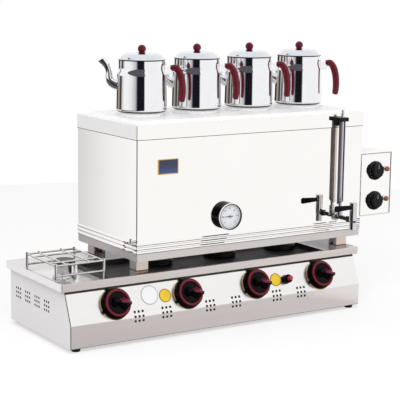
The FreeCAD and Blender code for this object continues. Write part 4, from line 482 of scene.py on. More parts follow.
def turned(name, outline, sides=64):
    """Piece turned about Z: a ring extruded and scaled through pairs of radius and height in mm."""
    # A radius of 0 is drawn as a tiny ring, which the merge closes
    pole = 0.0005
    rings = [(max(radius, pole) * MM, height * MM) for radius, height in outline]
    radius, height = rings[0]
    bpy.ops.mesh.primitive_circle_add(vertices=sides, radius=radius, location=(0, 0, height))
    piece = settled(named(bpy.context.object, name))
    editing(piece)
    bpy.ops.mesh.select_all(action="SELECT")
    for next_radius, next_height in rings[1:]:
        rise = {"value": (0, 0, next_height - height)}
        bpy.ops.mesh.extrude_region_move(TRANSFORM_OT_translate=rise)
        share = next_radius / radius
        bpy.ops.transform.resize(value=(share, share, 1), center_override=(0, 0, next_height))
        radius, height = next_radius, next_height
    bpy.ops.mesh.select_all(action="SELECT")
    bpy.ops.mesh.remove_doubles(threshold=WELD)
    bpy.ops.mesh.normals_make_consistent(inside=False)
    return smoothed(closed(piece))


def block(name, middle, size):
    """Sharp block of a size round a middle, in metres."""
    bpy.ops.mesh.primitive_cube_add(size=1, location=middle)
    piece = named(bpy.context.object, name)
    piece.scale = size
    return settled(piece)


def bevelled_block(name, low, high, width, segments=3):
    """Block between two corners in mm with rounded edges."""
    low = Vector(low) * MM
    high = Vector(high) * MM
    return rounded(block(name, (low + high) / 2, high - low), width * MM, segments)


def eased(node, width=0.5, segments=2, angle=35, whole=True):
    """Copy of a CAD node with its triangles joined into whole faces and its edges rounded."""
    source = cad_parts[node]
    piece = bpy.data.objects.new("eased_" + node, source.data.copy())
    bpy.context.scene.collection.objects.link(piece)
    editing(piece)
    bpy.ops.mesh.select_all(action="SELECT")
    bpy.ops.mesh.remove_doubles(threshold=WELD)
    if whole:
        bpy.ops.mesh.dissolve_limited(angle_limit=math.radians(0.4))
    closed(piece)
    if piece.data.has_custom_normals:
        bpy.ops.mesh.customdata_custom_splitnormals_clear()
    if width:
        return rounded(piece, width * MM, segments, angle)
    return smoothed(piece, angle)


def ring_turn(angle, centre):
    """Turns the selection about Y by an angle in radians."""
    bpy.ops.transform.rotate(value=-angle, orient_axis="Y", orient_type="GLOBAL", center_override=centre)


def between(points, share):
    """Point on a smooth curve through points of any size, share running from 0 to their count less 1."""
    last = len(points) - 1
    i = min(int(share), last - 1)
    t = share - i
    a, b = points[i], points[i + 1]
    before = points[i - 1] if i else [2 * p - q for p, q in zip(a, b)]
    after = points[i + 2] if i + 2 <= last else [2 * q - p for p, q in zip(a, b)]
    found = []
    for p0, p1, p2, p3 in zip(before, a, b, after):
        bend = (p2 - p0) * t + (2 * p0 - 5 * p1 + 4 * p2 - p3) * t * t
        bend += (3 * p1 - p0 - 3 * p2 + p3) * t ** 3
        found.append(p1 + bend / 2)
    return found


def swept(name, sections, steps, sides, wall=0.0):
    """Tube in the XZ plane through ovals of place x and z, lean, depth and width, in mm and degrees."""
    count = (len(sections) - 1) * steps
    path = [between(sections, i / steps) for i in range(count + 1)]
    x, z, lean, depth, width = path[0]
    centre = Vector((x, 0, z)) * MM
    bpy.ops.mesh.primitive_circle_add(vertices=sides, radius=0.5, location=centre)
    piece = named(bpy.context.object, name)
    piece.scale = (depth * MM, width * MM, 1)
    editing(settled(piece))
    bpy.ops.mesh.select_all(action="SELECT")
    ring_turn(math.radians(lean), centre)
    for next_x, next_z, next_lean, next_depth, next_width in path[1:]:
        move = Vector((next_x - x, 0, next_z - z)) * MM
        bpy.ops.mesh.extrude_region_move(TRANSFORM_OT_translate={"value": move})
        centre = centre + move
        ring_turn(math.radians(-lean), centre)
        share = (next_depth / depth, next_width / width, 1)
        bpy.ops.transform.resize(value=share, center_override=centre)
        ring_turn(math.radians(next_lean), centre)
        x, z, lean, depth, width = next_x, next_z, next_lean, next_depth, next_width
    if not wall:
        bpy.ops.mesh.select_all(action="DESELECT")
        bpy.ops.mesh.select_non_manifold(extend=False)
        bpy.ops.mesh.edge_face_add()
        closed(piece)
        editing(piece)
    bpy.ops.mesh.select_all(action="SELECT")
    bpy.ops.mesh.normals_make_consistent(inside=False)
    closed(piece)
    if wall:
        modified(piece, "SOLIDIFY", thickness=wall * MM, offset=-1.0)
    return smoothed(piece)


def arc_points(start, end, bulge, steps):
    """Points after start along an arc to end whose middle stands bulge mm to the left of the chord."""
    start, end = Vector(start), Vector(end)
    chord = end - start
    half = chord.length / 2
    radius = (half * half + bulge * bulge) / (2 * abs(bulge))
    side = Vector((-chord.y, chord.x)).normalized() * (1 if bulge > 0 else -1)
    centre = (start + end) / 2 + side * (abs(bulge) - radius)
    first = start - centre
    last = end - centre
    turn = math.atan2(first.x * last.y - first.y * last.x, first.dot(last)) / steps
    found = []
    for i in range(1, steps + 1):
        angle = math.atan2(first.y, first.x) + turn * i
        found.append((centre.x + radius * math.cos(angle), centre.y + radius * math.sin(angle)))
    return found


# Teapots

SEAT_TOP = 537.0
POT_XS = (-128.0, 36.0, 200.0, 364.0)
POT_ROW_Y = 23.0
POT_TURN = math.radians(-33.0)
POT_HEIGHT = 130.0
POT_WALL = 1.2
# Bands of painted shade on the pot: the heel's height, the line's depth under the rim, and the radius
# where the lid's dark edge starts
HEEL = 4.2
RIM_LINE = 1.6
LID_EDGE = 58.8


def seat(x):
    """Matrix that sets a teapot piece on the collar at x."""
    return Matrix.Translation(at(x, POT_ROW_Y, SEAT_TOP)) @ Matrix.Rotation(POT_TURN, 4, "Z")


def pot_outline(wall):
    """Side of the teapot's body from its bottom to its mouth, drawn a wall thickness inside."""
    base, belly, waist, neck = (radius - wall for radius in (57.5, 63.4, 61.8, 57.4))
    middle = ((waist + neck) / 2, 100.5)
    points = [(base, wall)]
    points += arc_points((base, wall), (belly, 8.0), -2.0, 8)
    points += [(waist + (belly - waist) * 0.5, 52.0), (waist, 90.0)]
    points += arc_points((waist, 90.0), middle, -0.6, 5)
    points += arc_points(middle, (neck, 111.0), 0.6, 5)
    points.append((neck, POT_HEIGHT - wall / 4))
    return points


def model_pot_body():
    """Teapot body: one turned wall, a hollow swan spout and the bracket of the grip."""
    outer = pot_outline(0.0)
    inner = pot_outline(POT_WALL)
    rim = [(57.3, POT_HEIGHT), (56.7, POT_HEIGHT)]
    body = turned("pot_body", [(0, 0)] + outer + rim + inner[::-1] + [(0, POT_WALL)], 96)
    for height in (HEEL, POT_HEIGHT - RIM_LINE):
        scored(body, height)
    # Painted shade: a dark band at the heel and a dark line just under the rim
    painted(body, "pot_chrome", "pot_edge_shade")
    paint_where(body, 1, lambda place, normal: not HEEL * MM < place.z < (POT_HEIGHT - RIM_LINE) * MM)
    # Place along X and Z, lean, depth and width of each oval
    spout = swept("pot_spout", [
        (-53.0, 61.0, -74.0, 25.5, 20.8),
        (-70.0, 69.0, -60.0, 22.0, 18.4),
        (-80.5, 81.0, -26.0, 18.0, 15.6),
        (-82.3, 99.0, -4.0, 14.0, 12.8),
        (-88.5, 115.5, -30.0, 14.0, 11.4),
        (-101.0, 130.0, -30.0, 18.0, 10.0),
    ], 6, 32, POT_WALL)
    bracket = bevelled_block("pot_bracket", (56.6, -7, 94), (76, 7, 115), 2.0)
    plate = bevelled_block("pot_bracket_plate", (57.2, -9, 91), (60.2, 9, 118), 1.2)
    painted(spout, "pot_chrome")
    # The bracket and its plate get the glowing matte white, painted light in place of their reflections
    for piece in (bracket, plate):
        painted(piece, "white_glow_satin")
    return joined([body, spout, bracket, plate], "pot_body")


def model_pot_lid():
    """Domed lid with a flat flange and a plug ring."""
    dome = arc_points((55.9, 131.5), (41.0, 144.96), -2.2, 10)
    under = [(r - POT_WALL, z - POT_WALL) for r, z in [(55.9, 131.5)] + dome]
    outline = [(55.9, 123.0), (55.9, 130.0), (59.2, 130.0), (59.6, 130.3), (59.6, 131.2), (59.3, 131.5)]
    outline += [(56.6, 131.5), (56.1, 131.7)] + dome
    outline += [(36.0, 145.5), (20.0, 146.4), (0, 147.0), (0, 145.8)] + under[::-1]
    outline += [(54.7, 123.0), (55.9, 123.0)]
    # Painted shade: the lid's outer edge is dark
    lid = painted(turned("pot_lid", outline, 96), "lid_chrome", "pot_edge_shade")
    return paint_where(lid, 1, lambda place, normal: place.xy.length > LID_EDGE * MM)


def model_lid_knob():
    """Ball knob on a waisted foot."""
    ball = arc_points((6.5, 148.8), (0.0, 167.5), -7.06, 16)
    foot = [(0, 147.0), (9.2, 147.0), (9.5, 147.3), (9.5, 147.9), (9.2, 148.2), (6.7, 148.5)]
    return turned("lid_knob", foot + [(6.5, 148.8)] + ball, 48)


def model_pot_grip():
    """Grip that leaves the bracket outwards and bends down."""
    # Place along X and Z, lean, depth and width of each oval
    return swept("pot_grip", [
        (72.0, 109.5, 84.0, 15.0, 16.2),
        (86.0, 109.5, 112.0, 18.0, 19.0),
        (96.5, 94.0, 152.0, 18.6, 19.0),
        (101.8, 70.0, 172.0, 18.2, 19.0),
        (102.8, 46.0, 184.0, 17.4, 18.4),
        (101.0, 29.0, 187.0, 15.4, 17.0),
        (100.8, 25.0, 187.0, 10.0, 11.0),
    ], 6, 32)


pot_models = {
    "body": (model_pot_body(), "polished_steel"),
    "lid": (model_pot_lid(), "polished_steel"),
    "lid_knob": (painted(model_lid_knob(), "burgundy"), "burgundy_plastic"),
    "grip": (painted(model_pot_grip(), "burgundy"), "burgundy_plastic"),
}
for i, x in enumerate(POT_XS):
    for piece_name, (model, slot_name) in pot_models.items():
        node = "pot_%d_%s" % (i + 1, piece_name)
        body = "pot_%d_lid" % (i + 1) if "lid" in piece_name else "pot_%d" % (i + 1)
        mounted(copied(model, node + "_look", seat(x)), body, slot_name, node)
for model, slot_name in pot_models.values():
    bpy.data.objects.remove(model)


# Gas knobs, their escutcheons and the slanted panel

KNOB_XS = (-307.5, -102.5, 102.5, 307.5)
KNOB_Z = 101.0
PANEL_TOP_Y = -144.0
PANEL_TOP_Z = 143.0
PANEL_TILT = math.atan2(32.0, 78.0)
KNOB_TURN = math.radians(-14.0)
BEZEL_TABS = (112.0, 205.0)
BEZEL_EDGE = 38.8
RING_BORE = 26.8
RING_EDGE = 33.6
RING_FOOT = 18.6
GRIP_RED_REFLECTION = (0.0, 24.0)
GRIP_FOOT = 18.5
GRIP_TOP = 37.8
GRIP_NOSE = 27.5
GRIP_TAIL = -18.5
GRIP_RIDGE = 2.6
GRIP_EDGE = 1.2
NOSE_SPREAD = 1.5


def on_panel(x, z, turn=0.0):
    """Matrix that sets a piece drawn with +Z outwards on the slanted panel."""
    place = at(x, PANEL_TOP_Y - (PANEL_TOP_Z - z) * math.tan(PANEL_TILT), z)
    lean = Matrix.Rotation(math.radians(90) - PANEL_TILT, 4, "X")
    return Matrix.Translation(place) @ lean @ Matrix.Rotation(turn, 4, "Z")


def model_gas_knob():
    """Gas knob: conical skirt, red ring, hub and a winged grip that points to its nose."""
    outline = [(0, 2.5), (37.6, 2.5), (38.0, 3.0), (37.7, 5.0), (35.6, 16.8), (34.6, 18.3), (34.0, 18.5)]
    outline += [(33.4, 18.5), (33.0, 20.2), (32.2, 21.0), (28.0, 21.0), (27.2, 20.2), (26.8, 18.5)]
    outline += [(26.0, 18.5), (25.2, 19.6), (24.2, 20.0), (0, 20.0)]
    disc = painted(turned("gas_knob", outline, 96), "black_gloss", "ring_red")
    paint_where(disc, 1, lambda place, normal: (
        RING_BORE * MM < place.xy.length < RING_EDGE * MM and place.z > RING_FOOT * MM))
    # Half widths of the grip's foot by the place along it
    waists = {GRIP_NOSE: 8.0, 24.0: 9.2, 15.0: 17.2, 0.0: 7.8, -10.5: 15.0, GRIP_TAIL: 8.5}
    middle = Vector(((GRIP_NOSE + GRIP_TAIL) / 2, 0, (GRIP_FOOT + GRIP_TOP) / 2))
    size = Vector((GRIP_NOSE - GRIP_TAIL, 2 * GRIP_RIDGE, GRIP_TOP - GRIP_FOOT))
    grip = block("gas_knob_grip", middle * MM, size * MM)
    for cut in sorted(waists)[1:-1]:
        scored(grip, cut, along_x=True)
    editing(grip)
    for cut, half in waists.items():
        pick(grip, "VERT", lambda place: (
            abs(place.x - cut * MM) < TOUCH and abs(place.z - GRIP_FOOT * MM) < TOUCH))
        bpy.ops.transform.resize(value=(1, half / GRIP_RIDGE, 1), center_override=(cut * MM, 0, 0))
    pick(grip, "VERT", lambda place: (
        abs(place.x - GRIP_NOSE * MM) < TOUCH and abs(place.z - GRIP_TOP * MM) < TOUCH))
    nose_top = Vector((GRIP_NOSE, 0, GRIP_TOP)) * MM
    bpy.ops.transform.resize(value=(1, NOSE_SPREAD, 1), center_override=nose_top)
    closed(grip)
    # Painted reflection: the grip's top and upper flank by its nose are burgundy, for the red ring
    # mirrored in the black gloss
    painted(grip, "black_gloss", "grip_red_reflection")
    paint_where(grip, 1, lambda place, normal: (
        GRIP_RED_REFLECTION[0] < place.x / MM < GRIP_RED_REFLECTION[1] and (normal.z > SQUARE_ON or normal.y > 0.2)))
    rounded(grip, GRIP_EDGE * MM, 3, 24)
    return joined([disc, grip], "gas_knob")


def model_bezel():
    """Thin escutcheon ring with two tabs on its left."""
    outline = [(7.5, 0.1), (7.5, 1.9), (38.6, 1.9), (39.2, 1.7), (39.5, 1.2), (39.5, 0.1), (7.5, 0.1)]
    ring = painted(turned("bezel", outline, 96), "black_satin", "gold_edge")
    paint_where(ring, 1, lambda place, normal: place.xy.length > BEZEL_EDGE * MM)
    pieces = [ring]
    for angle in BEZEL_TABS:
        tab = bevelled_block("bezel_tab", (38.0, -4, 0), (42.3, 4, 4), 1.0)
        pieces.append(painted(placed(tab, Matrix.Rotation(math.radians(angle), 4, "Z")), "black_satin"))
    return joined(pieces, "bezel")


knob_model = model_gas_knob()
bezel_model = model_bezel()
bezels = []
for i, x in enumerate(KNOB_XS):
    node = "gas_knob_%d" % (i + 1)
    knob = copied(knob_model, node + "_look", on_panel(x, KNOB_Z, KNOB_TURN))
    mounted(knob, node, "black_plastic", node)
    bezels.append(copied(bezel_model, "bezel_%d" % (i + 1), on_panel(x, KNOB_Z)))
mounted(joined(bezels, "knob_bezels_look"), MAIN_BODY, "brass", "knob_bezels")
bpy.data.objects.remove(knob_model)
bpy.data.objects.remove(bezel_model)


def model_disc(name, radius, *finishes):
    """Thin disc with a raised rim of its own finish."""
    edge = radius - 2.2
    outline = [(0, 0.05), (radius, 0.05), (radius, 0.7), (radius - 0.3, 1.0), (edge, 1.0)]
    outline += [(edge - 0.3, 0.7), (0, 0.7)]
    disc = painted(turned(name, outline, 64), *finishes)
    return paint_where(disc, 1, lambda place, normal: place.xy.length > (edge - 0.4) * MM)


discs = [placed(model_disc("clear_disc", 24.0, "clear_disc", "outline_grey"), on_panel(-209.0, 110.0))]
for x in (-166.0, 168.0):
    discs.append(placed(model_disc("yellow_disc", 17.0, "yellow", "yellow_edge"), on_panel(x, 104.0)))
mounted(joined(discs, "panel_discs_look"), MAIN_BODY, "yellow_sticker", "panel_discs")

igniter_outline = [(6.3, -6.0), (9.0, -6.0), (9.0, 0.05), (12.0, 0.05), (12.0, 3.4), (11.5, 4.0)]
igniter_outline += [(11.0, 4.2), (11.0, 16.8), (10.2, 18.0), (7.4, 18.0), (6.3, 17.2), (6.3, -6.0)]
igniter = painted(turned("igniter_body_look", igniter_outline, 48), "black_gloss")
mounted(placed(igniter, on_panel(199.0, KNOB_Z)), MAIN_BODY, "black_plastic", "igniter_body")
button_outline = [(0, 6.0), (6.0, 6.0), (6.0, 26.0), (5.4, 27.4), (4.0, 28.0), (3.2, 27.8)]
button_outline += [(2.4, 27.4), (0, 27.3)]
button = painted(turned("igniter_button_look", button_outline, 40), "button_red")
mounted(placed(button, on_panel(199.0, KNOB_Z)), "igniter_button", "red_plastic", "igniter_button")


# Hob, burners and stand

def dressed(node, name):
    """Gives the CAD piece itself its finish."""
    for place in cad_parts[node].material_slots:
        place.link = "OBJECT"
        place.material = FINISHES[name]


def middle_of(node):
    """Middle of a CAD piece's box."""
    low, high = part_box(node)
    return (low + high) / 2


def worked(node, slot_name, finish_name, width=0.5, segments=2, angle=35, body=MAIN_BODY, whole=True):
    """Stands an eased copy of a CAD piece in its place."""
    piece = painted(eased(node, width, segments, angle, whole), finish_name)
    return mounted(named(piece, node + "_look"), body, slot_name, node)


# Heights and widths of the painted seams and of the bands of painted shade, reflection and glow
SHADOW_GAP = 7.5
EDGE_LINE = 2.4
SIDE_SHEET = 1.0
HEM = 1.7
FOOT_SEAM = (165.0, 168.0)
VENT_FRONT_Z = 65.8
VENT_SIDE_Z = 88.0
VENT_REACH = 14.5
VENT_SIDE_Y = (-66.0, 120.0)
VENT_DEPTH = 3.0
VENT_END = 6.0
TRAY_LIMIT = 150.0
RIM_INSIDE = 144.6
PLINTH = 207.0
BEADS = (207.0, 234.0)
PLATFORM_EDGE = 522.5
BOX_SHADE = 6.5
STEM_Y = (-189.0, -139.0)
STEM_Z = 248.0
STEM_RADIUS = 7.5

housing_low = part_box("hob_housing")[0]
housing_middle = middle_of("hob_housing")
rim_middle = middle_of("hob_top")
rim_left = hob_low.x


def on_vent(place, normal):
    """True for a face of a vent hole's wall or rounded rim, on the front or on the left side, which gets
    painted shade.
    """
    on_front = abs(place.x) < -housing_low.x - VENT_END * MM and place.y < housing_middle.y
    on_front = on_front and abs(place.z / MM - VENT_FRONT_Z) < VENT_REACH
    turned_in = abs(normal.x) > TURNED_IN or normal.z < -TURNED_IN or normal.z > 0.55
    if on_front and normal.y < HALF_ON and turned_in:
        return True
    on_side = at(0, VENT_SIDE_Y[0], 0).y < place.y < at(0, VENT_SIDE_Y[1], 0).y
    on_side = on_side and place.x < housing_low.x + VENT_DEPTH * MM
    on_side = on_side and abs(place.z / MM - VENT_SIDE_Z) < VENT_REACH
    return on_side and max(abs(normal.y), abs(normal.z)) > TURNED_IN


housing = worked("hob_housing", "brushed_steel", "panel_satin", 0.4, 2, 35, whole=False)
scored(housing, PANEL_TOP_Z - SHADOW_GAP)
# Painted reflection: the upright front faces are greyer, as if mirroring a grey floor
painted_over(housing, "front_reflection_grey", lambda place, normal: normal.y < -0.98)
scored(housing, housing_low.x / MM + EDGE_LINE, along_x=True)
scored(housing, housing_low.z / MM + EDGE_LINE / 2)
# Painted shade: a dark strip under the rim's overhang and a dark line down the front's left corner
painted_over(housing, "shade_and_seam_dark", lambda place, normal: normal.y < -HALF_ON and (
    place.z > (PANEL_TOP_Z - SHADOW_GAP) * MM or place.x < housing_low.x + EDGE_LINE * MM))
# Painted shade: a grey line along the bottom edge of the front
painted_over(housing, "hem_shade_grey", lambda place, normal: (
    normal.y < -HALF_ON and place.z < housing_low.z + EDGE_LINE / 2 * MM))
# Painted light: the left face is a glowing matte white in place of its mirrored room
painted_over(housing, "side_glow_satin", lambda place, normal: (
    normal.x < -SQUARE_ON and place.x < housing_low.x + SIDE_SHEET * MM))
# Painted shade: the housing's inward faces are near black, for the unlit inside
painted_over(housing, "painted_shade_inside", lambda place, normal: (place - housing_middle).dot(normal) < 0)
hob_rim = worked("hob_top", "brushed_steel", "rim_satin", 0.8, 3)
# Painted shade: the vent holes' walls and rims are near black, so the holes read dark
painted_over(housing, "painted_shade_inside", on_vent)
# The tray's floor gets a pale, less metallic sheet with a faint painted glow
painted_over(hob_rim, "tray_bright", lambda place, normal: (
    normal.z > SQUARE_ON and place.z < TRAY_LIMIT * MM))
# Painted light: the rim's inner walls get the glowing matte white
painted_over(hob_rim, "white_glow_satin", lambda place, normal: (
    place.z > RIM_INSIDE * MM and abs(normal.z) < 0.3 and (place - rim_middle).dot(normal) < 0))
# Painted light: the rim's left face is a glowing pale sheet
painted_over(hob_rim, "rim_glow_satin", lambda place, normal: (
    normal.x < -SQUARE_ON and place.x < rim_left + SIDE_SHEET * MM))
worked("drip_pan", "black_enamel", "pan_enamel", 0.3)
worked("main_burners", "burner_iron", "burner_enamel", 0.4, 1)
legs = worked("boiler_legs", "brushed_steel", "leg_steel", 0.4)
# Painted shade: the legs' left faces are a darker grey than their fronts
painted_over(legs, "side_shade_grey", lambda place, normal: normal.x < -SQUARE_ON)
# A dark band is painted on the legs just above their feet
for height in FOOT_SEAM:
    scored(legs, height)
painted_over(legs, "shade_and_seam_dark", lambda place, normal: FOOT_SEAM[0] < place.z / MM < FOOT_SEAM[1])
worked("fasteners", "steel_fastener", "dark_steel", 0.6, 3)
shell = worked("boiler_shell", "polished_steel", "panel_mirror", 0.5)
# Painted shade: below the beads the shell's left-facing faces are a darker grey than the mirror above
painted_over(shell, "plinth_side_shade", lambda place, normal: place.z < PLINTH * MM and normal.x < -0.2)
# Painted shade: below the beads the front faces are a greyer satin than the mirror above
painted_over(shell, "plinth_front_shade", lambda place, normal: place.z < PLINTH * MM and normal.y < -SQUARE_ON)
# Painted shade: the beads' downward faces are dark grey, for the shade under each bead
painted_over(shell, "bead_and_edge_shade", lambda place, normal: (
    BEADS[0] < place.z / MM < BEADS[1] and normal.z < -TURNED_IN))
cover = worked("boiler_top", "polished_steel", "panel_mirror", 0.8, 3)
cover_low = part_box("boiler_top")[0].z
scored(cover, cover_low / MM + HEM)
# Painted light: the cover's top, platform and left face get the glowing matte white
painted_over(cover, "white_glow_satin", lambda place, normal: (
    normal.z > SQUARE_ON or place.z > PLATFORM_EDGE * MM or normal.x < -SQUARE_ON))
# Painted shade: a grey band along the cover's lower hem
painted_over(cover, "hem_shade_grey", lambda place, normal: (
    place.z < cover_low + HEM * MM and abs(normal.z) < SQUARE_ON))
control_box = worked("control_box", "polished_steel", "panel_mirror", 0.6, 3)
box_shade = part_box("control_box")[1].x / MM - BOX_SHADE
scored(control_box, box_shade, along_x=True)
# Painted shade: a dark strip down the box's front at its right edge
painted_over(control_box, "bead_and_edge_shade", lambda place, normal: (
    normal.y < -0.2 and place.x > box_shade * MM))
# Painted light: the box's left, bottom and top faces get the glowing matte white
painted_over(control_box, "white_glow_satin", lambda place, normal: (
    normal.x < -0.04 or normal.z < -0.04 or normal.z > 0.8))
# Painted shade: the rounded top edge of the front gets the darker side grey
painted_over(control_box, "side_shade_grey", lambda place, normal: normal.y < -0.2 and 0.1 < normal.z < 0.8)
guard = worked("gauge_guard", "chrome", "guard_steel", 0.25)
painted_over(guard, "guard_shade", lambda place, normal: normal.x < -0.3)
guard_middle = middle_of("gauge_guard").x
scored(guard, guard_middle / MM, along_x=True)
# Painted highlight: the guard's back is a glowing pale beige where the mirror front shows it
painted_over(guard, "guard_back_highlight", lambda place, normal: normal.y > HALF_ON)
# Painted shade: the left half of the guard's back is dim grey
painted_over(guard, "guard_back_shade", lambda place, normal: normal.y > HALF_ON and place.x < guard_middle)
stand = worked("pan_support", "chrome", "wire_chrome", 0.0, body="pan_support")
painted_over(stand, "wire_shade", lambda place, normal: normal.z < -0.3)
worked("coffee_burner", "chrome", "fitting_chrome", 0.4)
worked("drain_elbow", "chrome", "fitting_chrome", 0.0)
tap = worked("tap_body", "chrome", "fitting_chrome", 0.4, 2)
# Painted reflection: the chrome stem is painted near black, for the dark room it mirrors
painted_over(tap, "stem_dark_reflection", lambda place, normal: (
    at(0, STEM_Y[0], 0).y < place.y < at(0, STEM_Y[1], 0).y
    and abs(place.z / MM - STEM_Z) < STEM_RADIUS and normal.z < 0.75))
worked("tap_plug", "chrome", "fitting_chrome", 0.4, 2, body="tap_handle")
worked("tap_lever", "black_plastic", "black_gloss", 3.4, 4, body="tap_handle")
worked("gauge_vent", "chrome", "fitting_chrome", 0.3)
worked("gauge_clamp", "black_plastic", "black_satin", 0.8, 3)
# Inside the housing the base plate and gas manifold get the painted shade; the inner tank gets the pale
# tray sheet with its painted glow
for node, finish_name in (
    ("hob_base_plate", "painted_shade_inside"),
    ("gas_manifold", "painted_shade_inside"),
    ("gas_valves", "dark_brass"),
    ("inner_tank", "tray_bright"),
    ("thermometer_glass", "glass"),
    ("gauge_glass", "tube_glass"),
    ("thermostats", "black_satin"),
    ("heating_elements", "dark_steel"),
):
    dressed(node, finish_name)

BURNER_XS = (-95.0, 101.0, 297.0)
BURNER_Y = 3.0
cap_outline = [(0, 152.9), (39.4, 152.9), (39.4, 155.5), (42.0, 155.5), (42.0, 157.6), (41.2, 158.6)]
cap_outline.append((38.0, 160.4))
cap_outline += arc_points((38.0, 160.4), (0.0, 163.4), -0.9, 8)
cap_model = painted(turned("burner_cap", cap_outline, 64), "burner_enamel")
caps = []
for i, x in enumerate(BURNER_XS):
    caps.append(copied(cap_model, "burner_cap_%d" % i, Matrix.Translation(at(x, BURNER_Y, 0))))
mounted(joined(caps, "burner_caps_look"), MAIN_BODY, "black_enamel", "burner_caps")
bpy.data.objects.remove(cap_model)

COFFEE_BURNER = (-371.0, -23.0)
coffee_outline = [(0, 179.5), (12.4, 179.5), (12.4, 182.5), (26.4, 182.5), (27.0, 183.0), (27.0, 184.8)]
coffee_outline += [(26.0, 185.6), (16.2, 186.5), (16.2, 188.4), (22.6, 188.5), (22.9, 188.9)]
coffee_outline += [(22.0, 191.0), (21.2, 191.5), (0, 191.5)]
coffee_cap = painted(turned("coffee_burner_cap_look", coffee_outline, 56), "burner_enamel")
placed(coffee_cap, Matrix.Translation(at(*COFFEE_BURNER, 0)))
mounted(coffee_cap, "coffee_burner_cap", "black_enamel", "coffee_burner_cap")

foot_outline = [(0, 0), (9.2, 0), (10.2, 0.6), (11.3, 5.6), (10.9, 6.2), (11.5, 6.8)]
foot_outline += [(12.0, 9.0), (0, 9.0)]
foot_model = painted(turned("foot", foot_outline, 40), "rubber")
feet = []
for x in (-412.0, 412.0):
    for y in (-161.0, 137.25):
        feet.append(copied(foot_model, "foot_%d" % len(feet), Matrix.Translation(at(x, y, 0))))
mounted(joined(feet, "rubber_feet_look"), MAIN_BODY, "rubber", "rubber_feet")
bpy.data.objects.remove(foot_model)


# Thermometer

SHELL_FRONT = -130.5


def facing_front(x, y, z):
    """Matrix that sets a piece drawn with +Z outwards on the boiler's front."""
    return Matrix.Translation(at(x, y, z)) @ Matrix.Rotation(math.radians(90), 4, "X")


THERMOMETER = facing_front(31.0, SHELL_FRONT, 280.5)
case_outline = [(0, 2.0), (0, 0.05), (32.5, 0.05), (34.5, 2.0), (34.5, 17.4), (34.1, 17.8), (34.1, 18.4)]
case_outline += [(34.5, 18.8), (34.5, 20.0), (33.9, 21.6), (33.1, 22.0), (31.9, 21.9), (31.1, 21.2)]
case_outline += [(31.0, 20.2), (32.4, 20.2), (32.4, 2.0), (0, 2.0)]
# Painted light: the case's bezel lip is a glowing pale sheet; its back, lower side and inside are black
case = painted(turned("thermometer_case_look", case_outline, 96), "rim_glow_satin", "black_gloss")
paint_where(case, 1, lambda place, normal: (
    place.z < 18.0 * MM and place.xy.length > 33.0 * MM or place.xy.length < 32.6 * MM))
mounted(placed(case, THERMOMETER), MAIN_BODY, "chrome", "thermometer_case")

dial_outline = [(1.1, 14.0), (32.4, 14.0), (32.4, 14.9), (32.2, 15.0), (1.1, 15.0), (1.1, 14.0)]
# The dial face glows: painted light
dial_pieces = [painted(turned("dial", dial_outline, 96), "dial_white_glow")]
MARKS = 61
# Length and width of the dial's marks
MAJOR_MARK = (4.6, 0.9)
MIDDLE_MARK = (3.2, 0.6)
MINOR_MARK = (2.2, 0.45)
MARK_RADIUS = 29.0
NUMBER_RADIUS = 20.3
NUMBER_SIZE = 6.0
NUMBER_RISE = 0.06
FACE_HEIGHT = 15.02
for i in range(MARKS):
    angle = math.radians(225.0 - 270.0 * i / (MARKS - 1))
    major = i % 10 == 0
    if major:
        length, width = MAJOR_MARK
    elif i % 5 == 0:
        length, width = MIDDLE_MARK
    else:
        length, width = MINOR_MARK
    inner_end = (MARK_RADIUS - length, -width / 2, 14.9)
    mark = bevelled_block("dial_mark", inner_end, (MARK_RADIUS, width / 2, 15.08), 0.04, 1)
    dial_pieces.append(painted(placed(mark, Matrix.Rotation(angle, 4, "Z")), "print_dark"))
    if major:
        bpy.ops.object.text_add(location=(0, 0, 0))
        number = bpy.context.object
        number.data.body = "%d" % (i * 2)
        number.data.size = NUMBER_SIZE * MM
        number.data.extrude = NUMBER_RISE * MM
        number.data.align_x = "CENTER"
        number.data.align_y = "CENTER"
        bpy.ops.object.convert(target="MESH")
        along_face = Vector((math.cos(angle), math.sin(angle), 0)) * NUMBER_RADIUS * MM
        spot = along_face + Z_AXIS * FACE_HEIGHT * MM
        dial_pieces.append(painted(placed(bpy.context.object, Matrix.Translation(spot)), "print_dark"))
dial = joined(dial_pieces, "thermometer_dial_look")
mounted(placed(dial, THERMOMETER), MAIN_BODY, "white_dial", "thermometer_dial")
worked("thermometer_needle", "black_enamel", "black_satin", 0.15, body="thermometer_needle")


# Badge plate

BADGE = (-142.0, 417.0, 58.5, 38.0)
BADGE_THICKNESS = 1.2
BADGE_CORNER = 3.0
BADGE_RIM = 2.0
BADGE_GROOVE = 0.3
BADGE_SINK = 0.35
BADGE_MARGIN = 0.1


